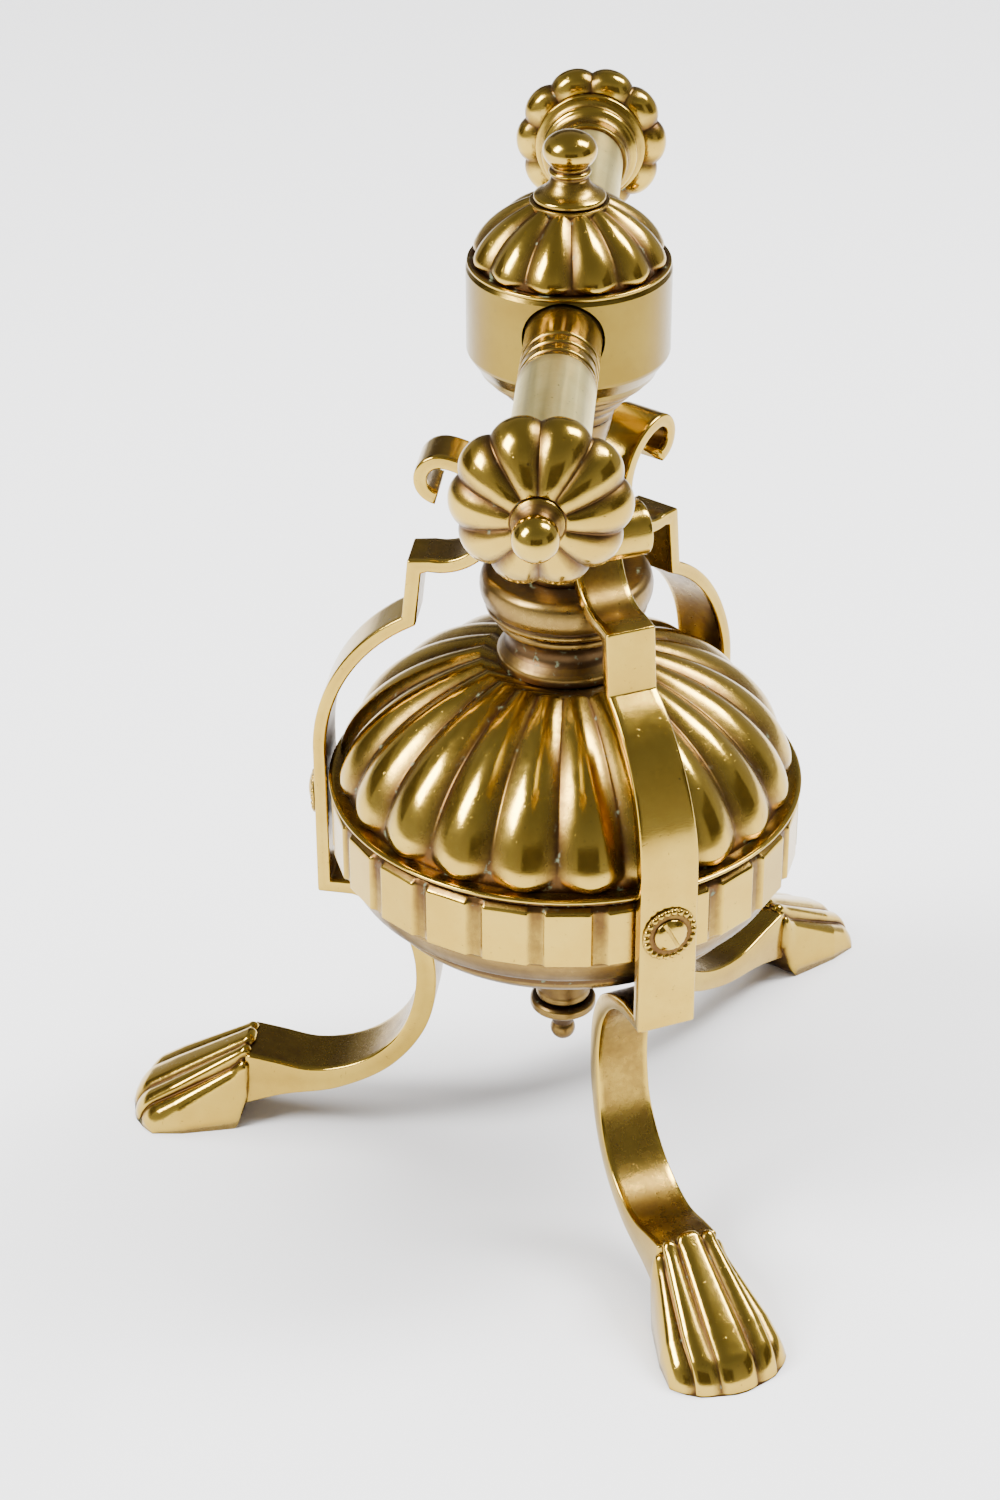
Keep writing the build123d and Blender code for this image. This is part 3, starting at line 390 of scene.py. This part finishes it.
def build_end(side, suffix):
    place = tube_line(side)
    tube_end = knob_back - 4.0
    add_piece("crossbar_tube_" + suffix, [turned([
        (7.5, core_half, 0, 1), (bar_radius, core_half, 0.15, 0.6), (bar_radius, core_half + 4, 0.5, 0.05),
        (bar_radius, tube_end - 8, 0.5, 0.05), (bar_radius, tube_end, 0, 0.5), (7.5, tube_end, 0, 1),
    ], place, 96)], "head", "satin_brass", ["crossbar_tube_" + suffix])
    g = knob_back - 11.6
    add_piece("knob_flange_" + suffix, [turned([
        (8.6, g, 0, 1), (9.9, g, 0.2, 0.5), (10.2, g + 1.0, 0.3, 0.0), (10.0, g + 2.4, 0.8, 0.6),
        (10.3, g + 4.2, 0.8, 0.6),
        (11.2, g + 5.2, 0.3, 0.3), (12.2, g + 5.8, 0.6, 0.0), (12.5, g + 6.8, 0.7, 0.0),
        (12.1, g + 7.9, 0.6, 0.0),
        (11.5, g + 8.4, 0.25, 0.9), (11.7, g + 9.2, 0.4, 0.6), (12.6, g + 9.9, 0.6, 0.3),
        (14.0, g + 10.3, 0.2, 0.0),
        (14.2, g + 10.7, 0.2, 0.0), (14.2, knob_back - 0.25, 0.1, 0.9), (4.0, knob_back - 0.25, 0, 1),
    ], place, 128)], "head", "polished_brass", ["knob_flange_" + suffix])

    lobes, per_lobe = 10, 32
    length = knob_front - knob_back
    size = 19.5
    spine = smooth_line([
        (0.66, 0.0), (0.80, 0.0), (0.90, 0.045), (0.965, 0.13), (1.0, 0.28), (0.985, 0.42), (0.93, 0.57),
        (0.83, 0.72), (0.70, 0.84), (0.54, 0.93), (0.40, 0.985), (0.315, 1.0)], 64)
    spine = spine * [size, length] + [0, knob_back]
    way = np.gradient(spine, axis=0)
    normal = np.stack([way[:, 1], -way[:, 0]], -1)
    normal /= np.linalg.norm(normal, axis=1)[:, None]
    depth = np.interp(spine[:, 0], [6.0, 8.0, 13.0, 17.5, 19.5], [0.6, 0.9, 1.4, 1.6, 1.6])
    depth[:14] *= np.linspace(0.25, 1, 14)
    across = np.linspace(-1, 1, per_lobe, endpoint=False)
    u = np.tile(across, lobes)[None, :]
    angle = np.concatenate([
        radians(-90) + 2 * pi / lobes * (i + 0.5 + across / 2) for i in range(lobes)])[None, :]
    lift = (1 - np.abs(u) ** 2.3) ** 1.0
    down = depth[:, None] * (1 - lift)
    rows = place(spine[:, :1] - normal[:, :1] * down, angle, spine[:, 1:2] - normal[:, 1:2] * down)
    dull = np.clip((np.abs(u) - 0.42) / 0.58, 0, 1) ** 0.8 * 0.95 * np.ones_like(spine[:, :1])
    add_piece("knob_" + suffix, [(rows, dull, False)], f"knob_{suffix}_body", "polished_brass",
              ["knob_" + suffix])
    seat = knob_front - 1.35
    ball, ball_at = 5.1, knob_front + 6.8
    bead = [(ball * cos(radians(a)), ball_at + ball * sin(radians(a)), 0.4, 0.0) for a in range(-46, 90, 8)]
    add_piece("ball_screw_" + suffix, [turned([
        (2.0, seat, 0, 1), (5.72, seat, 0.1, 0.9), (5.72, knob_front + 0.15, 0.4, 0.3),
        (5.3, knob_front + 0.6, 0.4, 0.7),
        (4.6, knob_front + 1.3, 0.5, 0.85), (3.9, knob_front + 2.3, 0.4, 0.9),
        (3.55, knob_front + 3.0, 0.15, 1.0),
        *bead, (0, ball_at + ball, 0, 0),
    ], place, 96)], f"ball_screw_{suffix}_body", "polished_brass", ["ball_screw_" + suffix])


for side, suffix in ((-1, "front"), (1, "rear")):
    build_end(side, suffix)

# ================= bowl =================
spine, normal = crest_line(rim_height - 1.1, rim_radius - 1.9, 38.2, 1.91, rim_height - 0.6,
                           neck_base + 0.4, 90)
depth = np.interp(spine[:, 0], [17.0, 26.0, 45.0, 57.0], [0.9, 1.3, 1.9, 2.3])
rows, dull = lobed_dome(21, -88.7, 26, spine, normal, depth, 6.5, 1.15, 0.9, 0.38)
ledge = turned([
    (50.0, rim_height - 3.0, 0, 1), (50.0, rim_height - 0.2, 0.1, 1),
    (54.6, rim_height - 0.1, 1.2, 0.95), (57.2, rim_height - 0.5, 1.2, 0.35),
    (59.2, rim_height - 0.1, 0.4, 0.1), (rim_radius, rim_height - 0.45, 0.35, 0.0),
    (rim_radius - 0.1, rim_height - 1.1, 0.3, 0.0),
    (58.9, rim_height - 1.6, 0.4, 0.8), (57.6, rim_height - 2.2, 0.6, 1.0),
    (57.3, rim_height - 4.2, 0, 1), (52.0, rim_height - 4.4, 0, 1),
], segments=360)
add_piece("bowl_upper", [(rows, dull, False)], "stand", "polished_brass", ["bowl_upper"])


def fluted_band():
    """Flat facets with rounded flutes between them; the flutes run out under the rim."""
    facets, per_facet = 24, 40
    flat = rim_radius - 0.8
    pitch = 2 * pi / facets
    local = np.linspace(-0.5, 0.5, per_facet, endpoint=False) * pitch
    angle = np.concatenate([radians(tripod_turn) + pitch * i + local for i in range(facets)])[None, :]
    local = np.tile(local, facets)[None, :]
    facet = flat / np.cos(pitch / 2 - np.abs(local))
    arc = np.abs(local) * flat
    half, deep = 2.1, 1.25
    flute = np.sqrt(np.clip(1 - (arc / half) ** 2, 0, 1))
    top = rim_height - 3.3
    levels = rounded_line([
        (53.0, band_bottom, 0, 0), (flat, band_bottom, 0.5, 0), (flat, top - 1.4, 0.7, 0),
        (flat - 1.5, top, 0.3, 0),
        (53.0, top, 0, 0)], steps=6)
    r = levels[:, :1]
    z = levels[:, 1:2]
    share = np.clip((z - band_bottom) / (top - band_bottom), 0, 1)
    on_face = np.clip((r - (flat - 1.6)) / 1.6, 0, 1)
    cut = deep * flute * on_face
    radius = r * (1 + (facet / flat - 1) * on_face) - cut
    dull = np.clip(flute * 1.1, 0, 1) * (0.5 + 0.5 * share) + (r < flat - 0.4) * 0.6
    return upright(radius, angle, z), np.clip(dull, 0, 1), False


add_piece("bowl_band", [fluted_band(), ledge], "stand", "polished_brass", ["bowl_band"])
b = band_bottom
lower = rim_radius - 2.8
waist = rim_radius - 10.4
add_piece("bowl_lower", [turned([
    (50.0, b, 0, 1), (lower, b, 0.1, 0.9), (lower, b - 1.6, 0.4, 0.1), (lower - 0.9, b - 4.4, 1.2, 0.3),
    (lower - 2.6, b - 7.4, 1.2, 0.4), (waist + 1.8, b - 9.2, 0.3, 0.5), (waist, b - 9.6, 0.3, 1.0),
    (waist, b - 11.2, 0.4, 0.9), (waist - 0.2, b - 13.0, 1.0, 0.2),
    (waist - 2.4, ring_bottom + 1.2, 1.2, 0.3),
    (43.5, ring_bottom, 0.8, 0.4), (41.0, ring_bottom - 0.3, 0.5, 0.8), (34.0, boss_top + 12.8, 3.0, 0.7),
    (22.0, boss_top + 6.4, 4.0, 0.7), (9.8, boss_top, 0.5, 0.8), (2.6, boss_top, 0, 1),
], segments=192)], "stand", "aged_brass", ["bowl_lower"])
add_piece("lower_boss", [turned([
    (2.6, boss_top, 0, 1), (9.6, boss_top, 0.2, 0.7), (9.2, boss_top - 1.6, 0.5, 0.3),
    (7.6, boss_top - 3.0, 0.8, 0.7),
    (6.8, boss_top - 4.4, 0.6, 0.5), (6.8, boss_bottom + 2.6, 0.3, 0.4), (7.1, boss_bottom + 1.8, 0.3, 0.2),
    (7.1, boss_bottom + 0.6, 0.3, 0.2), (6.6, boss_bottom, 0.2, 0.7), (2.6, boss_bottom, 0, 1),
], segments=96)], "stand", "aged_brass", ["lower_boss"])
tip = [(3.3 * cos(radians(a)), nut_tip + 3.3 + 3.3 * sin(radians(a)), 0.3, 0.3) for a in range(35, -90, -9)]
add_piece("pendant_nut", [turned([
    (2.6, nut_top, 0, 1), (7.9, nut_top, 0.3, 0.6), (8.7, nut_top - 0.8, 0.4, 0.2),
    (8.7, nut_top - 2.6, 0.4, 0.2),
    (7.6, nut_top - 3.6, 0.8, 0.4), (5.4, nut_top - 4.8, 0.8, 0.6), (3.6, nut_top - 6.6, 0.6, 0.7),
    (2.7, nut_tip + 5.3, 0.2, 0.9),
    *tip, (0, nut_tip, 0, 0.3)], segments=96)], "pendant", "aged_brass", ["pendant_nut"])

# ================= legs =================
thick = 3.4
strap_in = rim_radius + 0.2
strap_out = strap_in + thick
strap_foot = band_bottom - 14.7 - thick
bend_r = strap_in - 5.7
step_out = strap_out - 25.0
lean_out = step_out + 1.6
step_top = neck_base + 26.8
step_bottom = neck_base + 10.8
arc_foot = rim_height + 5.1
scroll = (step_out - 7.3, step_top + 13.0)
scroll_radius, curl_radius, curl_start = 16.0, thick + 3.2, 97.0
arc_radius = ((strap_out - lean_out) ** 2 + (step_bottom - arc_foot) ** 2) / (2 * (strap_out - lean_out))
arc_r = strap_out - arc_radius
shell_length, ridge_z = 35.0, 25.6
narrow, wide, leg_width, ridge_width = 12.4, 15.0, 14.2, 18.0
bow_r = rim_radius - 21.3


def on_circle(centre, radius, angles):
    a = np.radians(angles)
    return np.stack([centre[0] + radius * np.cos(a), centre[1] + radius * np.sin(a)], -1)


def strap_faces(ridge_r):
    """The strap's two broad faces as lines of equal length: the one that looks out, and its back."""

    def leg_point(share, up):
        return bow_r + share * (ridge_r - bow_r), up * strap_foot

    curl = on_circle(scroll, scroll_radius - curl_radius, [curl_start])[0]
    turns = np.linspace(-78, 90, 18)
    sweep = np.linspace(curl_start, 278, 46)
    outer = [on_circle(curl, curl_radius - thick, turns), on_circle(scroll, scroll_radius - thick, sweep)]
    inner = [on_circle(curl, curl_radius, turns), on_circle(scroll, scroll_radius, sweep)]
    arc = np.degrees(np.arctan2(step_bottom - arc_foot, lean_out - arc_r))
    inner_low = arc_foot + sqrt((arc_radius - thick) ** 2 - (lean_out - thick - arc_r) ** 2)
    inner_arc = np.degrees(np.arctan2(inner_low - arc_foot, lean_out - thick - arc_r))
    start = outer[-1][-1]
    back = inner[-1][-1]
    shoulder = on_circle((arc_r, arc_foot), arc_radius, [arc - 2])[0]
    shoulder_in = on_circle((arc_r, arc_foot), arc_radius - thick, [inner_arc - 2])[0]
    outer.append(rounded_line([(*start, 0, 0), (step_out, step_top, 0.45, 0),
                               (lean_out, step_bottom, 0.3, 0),
                               (*shoulder, 0, 0)])[1:-1, :2])
    inner.append(rounded_line([(*back, 0, 0), (step_out - thick, step_top - thick, 0.3, 0),
                               (lean_out - thick, inner_low, 0.45, 0), (*shoulder_in, 0, 0)])[1:-1, :2])
    outer.append(on_circle((arc_r, arc_foot), arc_radius, np.linspace(arc - 2, 0, 26)))
    inner.append(on_circle((arc_r, arc_foot), arc_radius - thick, np.linspace(inner_arc - 2, 0, 26)))
    outer.append(rounded_line([(strap_out, arc_foot, 0, 0), (strap_out, strap_foot, 0.6, 0),
                               (bend_r, strap_foot - 0.4, 0, 0)])[1:, :2])
    inner.append(rounded_line([(strap_in, arc_foot, 0, 0), (strap_in, strap_foot + thick, 0.4, 0),
                               (bend_r, strap_foot + thick, 0, 0)])[1:, :2])
    outer.append(smooth_line([
        (bend_r, strap_foot - 0.4), (bow_r + 10.5, strap_foot - 2.4), (bow_r + 5.5, strap_foot - 6.6),
        (bow_r + 1.9, strap_foot - 12.4), (bow_r + 0.3, strap_foot - 18.0),
        leg_point(0.0, 0.603), leg_point(0.109, 0.423), leg_point(0.342, 0.303), leg_point(0.654, 0.256),
        leg_point(0.87, 0.278), (ridge_r + 1.5, ridge_z - 2.6)], 70)[1:])
    inner.append(smooth_line([
        (bend_r, strap_foot + thick), (bow_r + 9.5, strap_foot + 1.6), (bow_r + 4.7, strap_foot - 1.2),
        (bow_r + 0.6, strap_foot - 4.6), (bow_r - 2.3, strap_foot - 9.4),
        leg_point(-0.129, 0.667), leg_point(-0.069, 0.474), leg_point(0.141, 0.3), leg_point(0.475, 0.185),
        leg_point(0.85, 0.13), (ridge_r + 3.0, 6.4)], 70)[1:])
    return np.concatenate(outer), np.concatenate(inner)


def strap_rows(outer, inner, place):
    """Loops round the strap from its two faces, with small rounded edges, and their patina."""
    z = (outer[:, 1] + inner[:, 1]) / 2
    width = np.interp(z, [0, ridge_z - 8, ridge_z + 2, ridge_z + 14, strap_foot - 8, strap_foot,
                          arc_foot + 8,
                          step_bottom, step_bottom + 60],
                      [ridge_width - 2, ridge_width - 2, leg_width + 1.0, leg_width, leg_width, wide,
                       wide, narrow, narrow])
    gap = np.linalg.norm(inner - outer, axis=1)
    e = 0.55
    half = width / 2
    loop, dull = [], []
    below = z < strap_foot - 2
    face_dull = np.where(below, 0.62, 0.05)
    face_dull = np.where((z > step_top - 4) & (outer[:, 0] < step_out - 0.8), 0.75, face_dull)
    back_dull = np.where(z > step_top + 4, np.clip((outer[:, 0] - 22) / -12, 0, 1) * 0.4 + 0.12, 0.7)

    def add(through, across, patina):
        loop.append((np.broadcast_to(through, len(z)), np.broadcast_to(across, len(z))))
        dull.append(patina)

    def corner(side, at_back):
        """The rounded edge between a broad face and a side, in the order of the loop."""
        for turn in np.radians((0, 30, 60, 90) if at_back == (side < 0) else (90, 60, 30, 0)):
            drop = e * (1 - cos(turn))
            add(gap - drop if at_back else drop, side * (half - e * (1 - sin(turn))), 0.0)

    add(0.0, 0.0, face_dull)
    add(0.0, half - e - 1.2, face_dull)
    corner(1, False)
    add(gap * 0.5, half, 0.15)
    corner(1, True)
    add(gap, half - e - 1.0, back_dull)
    add(gap, 0.0, back_dull)
    add(gap, -(half - e - 1.0), back_dull)
    corner(-1, True)
    add(gap * 0.5, -half, 0.15)
    corner(-1, False)
    add(0.0, -(half - e - 1.2), face_dull)
    way = (inner - outer) / gap[:, None]
    rows = []
    for through, across in loop:
        point = outer + way * np.broadcast_to(through, len(z))[:, None]
        rows.append(place(point[:, 0], np.broadcast_to(across, len(z)), point[:, 1]))
    patina = np.stack([np.broadcast_to(v, len(z)) for v in dull], 1)
    return np.stack(rows, 1), patina, False


def foot_rows(place, reach):
    """A shell foot: five convex lobes that fan from a raised ridge to the toe, closed underneath."""
    per_lobe, rows_along = 24, 64
    edges = np.radians([180, 133.3, 102.3, 77.7, 46.7, 0])
    u = np.tile(np.linspace(-1, 1, per_lobe, endpoint=False), 5)
    phi = np.concatenate([np.linspace(edges[i], edges[i + 1], per_lobe, endpoint=False) for i in range(5)])
    u, phi = np.append(u, 1.0), np.append(phi, 0.0)
    bump = (1 - np.abs(u) ** 2.3) ** 0.9
    bump[:per_lobe // 2] = bump[-(per_lobe // 2 + 1):] = 1.0
    rows, dull = [], []
    for a in np.linspace(0, 1, rows_along):
        half_width = np.interp(a, [0, 0.3, 0.68, 1], [9.9, 12.2, 15.0, 16.0])
        top = np.interp(a, [0, 0.025, 0.06, 0.31, 0.68, 0.88, 1],
                        [ridge_z - 1.6, ridge_z - 0.5, ridge_z - 0.3, 20.2, 12.6, 8.2, 5.8])
        floor = np.interp(a, [0, 0.05, 0.10, 0.14, 1], [10.0, 6.0, 1.5, 0.0, 0.0])
        groove = 0.10 + 0.045 * a
        share = 1 - groove * (1 - bump)
        y = half_width * share * np.sign(np.cos(phi)) * np.abs(np.cos(phi)) ** 0.66
        z = floor + (top - floor) * share * np.sin(phi) ** 0.52
        end = reach - 6.0 * (y / half_width) ** 2 - 2.2 * np.abs(y / half_width) ** 8 - 1.0 * (1 - bump)
        start = reach - shell_length + 1.2 * (1 - bump) + 1.5 * (y / half_width) ** 2
        x = start + (end - start) * a
        closing = np.clip((a - 0.86) / 0.14, 0, 1)
        z = floor + (z - floor) * sqrt(max(1 - closing**2, 0.01))
        floor_y = np.linspace(y[-1], y[0], 12)[1:-1]
        floor_x = np.interp(floor_y, y, x)
        rows.append(place(np.concatenate([x, floor_x]), np.concatenate([y, floor_y]),
                          np.maximum(np.concatenate([z, np.full(10, floor)]), 0.0)))
        groove_dull = np.clip((1 - bump - 0.25) / 0.75, 0, 1) ** 0.8
        dull.append(np.concatenate([groove_dull, np.full(10, 0.8)]))
    return np.stack(rows), np.array(dull), False


def build_leg(name, angle, reach):
    turn = radians(angle + tripod_turn)
    out = np.array([cos(turn), sin(turn)])
    side = np.array([-sin(turn), cos(turn)])

    def place(r, across, height):
        r, across, height = np.broadcast_arrays(r, across, height)
        flat = r[..., None] * out + across[..., None] * side
        return np.concatenate([flat, height[..., None]], -1)

    outer, inner = strap_faces(reach - shell_length)
    add_piece("leg_" + name, [strap_rows(outer, inner, place), foot_rows(place, reach)], "stand",
              "polished_brass",
              ["leg_" + name])


for name, angle in leg_angles.items():
    build_leg(name, angle, foot_reach * reach_shares[name])

# ================= band screws =================
screw_height = band_bottom + 9.9


def facing(angle, start):
    """Places a turned shape square to the band, its axis running outwards."""
    turn = radians(angle + tripod_turn)

    def place(r, around, distance):
        r, around, distance = np.broadcast_arrays(r, around, distance)
        across, up, far = r * np.cos(around), r * np.sin(around), start + distance
        return np.stack([far * cos(turn) - across * sin(turn), far * sin(turn) + across * cos(turn),
                         screw_height + up], -1)
    return place


mill_beads, mill_radius = 22, 6.25
slot_tilt, slot_size = 27, (0.0022, 0.0010, 0.0120, 1)
screw_around = np.linspace(0, 2 * pi, 96, endpoint=False)[None, :]
washers, screws = [], []
for angle in leg_angles.values():
    place = facing(angle, strap_out + 0.05)
    washers.append(turned([
        (2.4, 0, 0, 1), (7.1, 0, 0.1, 0.8), (7.15, 0.5, 0.2, 0.3), (5.2, 0.75, 0.2, 0.9), (2.4, 0.75, 0, 1),
    ], place, 96))
    for i in range(mill_beads):
        at = 2 * pi * i / mill_beads
        bead = [
            (0.92 * cos(radians(a)), 0.45 + 0.8 * sin(radians(a)), 0.1, 0.15)
            for a in range(-30, 90, 20)]

        def bead_place(r, around, distance, at=at, place=place):
            x, y = mill_radius * cos(at) + r * np.cos(around), mill_radius * sin(at) + r * np.sin(around)
            return place(np.hypot(x, y), np.arctan2(y, x), distance)

        washers.append(turned([(0.0, 0.0, 0, 0.5), *bead, (0.0, 1.25, 0, 0)], bead_place, 12))
    line = rounded_line([
        (0.0, 0.4, 0, 0.6), (4.35, 0.4, 0.1, 0.9), (4.4, 1.2, 0.4, 0.1), (3.4, 2.05, 0.9, 0.0),
        (1.8, 2.5, 0.8, 0.0),
        (0.0, 2.6, 0, 0.0)], steps=6)
    screws.append((place(line[:, :1], screw_around, line[:, 1:2]), np.repeat(line[:, 2:3], 96, 1), False))
add_piece("band_screw_washers", washers, "stand", "polished_brass", ["band_screw_washers"])
heads = add_piece("band_screws", screws, "stand", "polished_brass", ["band_screws"])
cutters = []
for angle in leg_angles.values():
    turn = radians(angle + tripod_turn)
    bpy.ops.mesh.primitive_cube_add(size=1)
    cutter = bpy.context.object
    way = Vector((cos(turn), sin(turn), 0))
    tilt = Matrix.Rotation(radians(slot_tilt), 4, way) @ Matrix.Rotation(turn, 4, "Z")
    centre = way * (strap_out + 2.6) * MM + Vector((0, 0, screw_height * MM))
    cutter.matrix_world = Matrix.Translation(centre) @ tilt @ Matrix.Diagonal(slot_size)
    cutters.append(cutter)
bpy.context.view_layer.update()
for cutter in cutters:
    cut = heads.modifiers.new("slot", "BOOLEAN")
    cut.operation = "DIFFERENCE"
    cut.object = cutter
    cut.solver = "EXACT"
graph = bpy.context.evaluated_depsgraph_get()
slotted = bpy.data.meshes.new_from_object(heads.evaluated_get(graph))
heads.modifiers.clear()
heads.data = slotted
for cutter in cutters:
    bpy.data.objects.remove(cutter)

# ================= CAD nodes that keep their own shape =================
# head_drum takes the darkened drum brass, whose colour is painted shade; the aged brass on the other nodes
# is partly painted shade.
own_shape = {"head_drum": "drum_painted_shade_brass", "centre_rod": "aged_brass",
             "band_nuts": "aged_brass", "bar_plug_front": "aged_brass", "bar_plug_rear": "aged_brass"}
for node, slot in own_shape.items():
    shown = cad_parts[node]
    shown.data.materials.clear()
    shown.data.materials.append(finishes[slot])

# ================= floor, light, camera =================
bpy.ops.mesh.primitive_plane_add(size=14)
floor = bpy.context.object
floor.name = "floor"
paper = bpy.data.materials.new("paper")
paper.use_nodes = True
paper_shader = paper.node_tree.nodes["Principled BSDF"]
paper_shader.inputs["Base Color"].default_value = (0.80, 0.80, 0.81, 1)
paper_shader.inputs["Roughness"].default_value = 0.85
floor.data.materials.append(paper)

world = bpy.data.worlds.new("studio")
bpy.context.scene.world = world
world.use_nodes = True
sky = world.node_tree
ways = link_nodes(sky, "ShaderNodeTexCoord").outputs["Generated"]
up = link_nodes(sky, "ShaderNodeSeparateXYZ", Vector=ways).outputs[2]
level = link_nodes(sky, "ShaderNodeMapRange", Value=up, i1=-0.05, i2=0.75, i3=0.0, i4=1.0).outputs[0]
horizon, zenith = (0.62, 0.62, 0.64, 1), (0.24, 0.24, 0.25, 1)
fade = link_nodes(sky, "ShaderNodeMix", {"data_type": "RGBA"}, i0=level, i6=horizon, i7=zenith).outputs[2]
sky.links.new(fade, sky.nodes["Background"].inputs["Color"])
sky.nodes["Background"].inputs["Strength"].default_value = 1.0


light_target = Vector((0, 0, 0.12))


def window(name, place, size, power):
    """A soft rectangular light that looks at the middle of the object."""
    data = bpy.data.lights.new(name, "AREA")
    data.shape = "RECTANGLE"
    data.size, data.size_y = size
    data.energy = power
    lamp = bpy.data.objects.new(name, data)
    lamp.location = place
    way = light_target - Vector(place)
    lamp.rotation_mode = "QUATERNION"
    lamp.rotation_quaternion = way.to_track_quat("-Z", "Y")
    bpy.context.scene.collection.objects.link(lamp)
    return lamp


window("window_left", (-1.15, -0.55, 1.25), (0.55, 0.8), 62)
window("window_right", (0.95, 0.35, 1.45), (0.45, 0.8), 50)
ceiling = window("ceiling", (0.0, 0.3, 2.6), (2.4, 2.4), 165)
ceiling.visible_glossy = False


def dark_card(name, place, size):
    """A dark panel that only reflections see, as the unlit side of a room would be."""
    bpy.ops.mesh.primitive_plane_add(size=1)
    card = bpy.context.object
    card.name = name
    card.scale = (*size, 1)
    card.location = place
    way = light_target - Vector(place)
    card.rotation_mode = "QUATERNION"
    card.rotation_quaternion = way.to_track_quat("Z", "Y")
    card.data.materials.append(dark)
    card.visible_camera = card.visible_diffuse = card.visible_shadow = False


dark = bpy.data.materials.new("dark_card")
dark.use_nodes = True
dark.node_tree.nodes["Principled BSDF"].inputs["Base Color"].default_value = (0.035, 0.028, 0.02, 1)
dark.node_tree.nodes["Principled BSDF"].inputs["Roughness"].default_value = 0.9
dark_card("card_front", (0.25, -1.7, 0.55), (1.7, 0.8))
dark_card("card_right", (1.7, -0.35, 0.6), (1.2, 0.9))
dark_card("card_left", (-1.75, 0.35, 0.6), (1.2, 0.8))
dark_card("card_back", (-0.3, 1.9, 0.9), (1.6, 0.7))

# The camera stands where the photo's did: low above one end of the crossbar.
view_target = Vector((-0.016517, 0, 0.120839))
view_distance, view_elevation, view_azimuth, view_roll = 0.841557, 31.631, 4.388, -0.21
focal_pixels, frame_height = 3319.61, 1500
e, a, roll = radians(view_elevation), radians(view_azimuth), radians(view_roll)
back = Vector((sin(a) * cos(e), -cos(a) * cos(e), sin(e)))
right = Vector((cos(a), sin(a), 0))
up_way = back.cross(right)
tilted_right = right * cos(roll) + up_way * sin(roll)
tilted_up = up_way * cos(roll) - right * sin(roll)
camera_data = bpy.data.cameras.new("camera")
camera_data.sensor_width = 36
camera_data.lens = focal_pixels * camera_data.sensor_width / frame_height
camera_data.clip_start = 0.05
camera = bpy.data.objects.new("camera", camera_data)
pose = Matrix((tilted_right, tilted_up, back)).transposed().to_4x4()
camera.matrix_world = Matrix.Translation(view_target + back * view_distance) @ pose
bpy.context.scene.collection.objects.link(camera)
bpy.context.scene.camera = camera
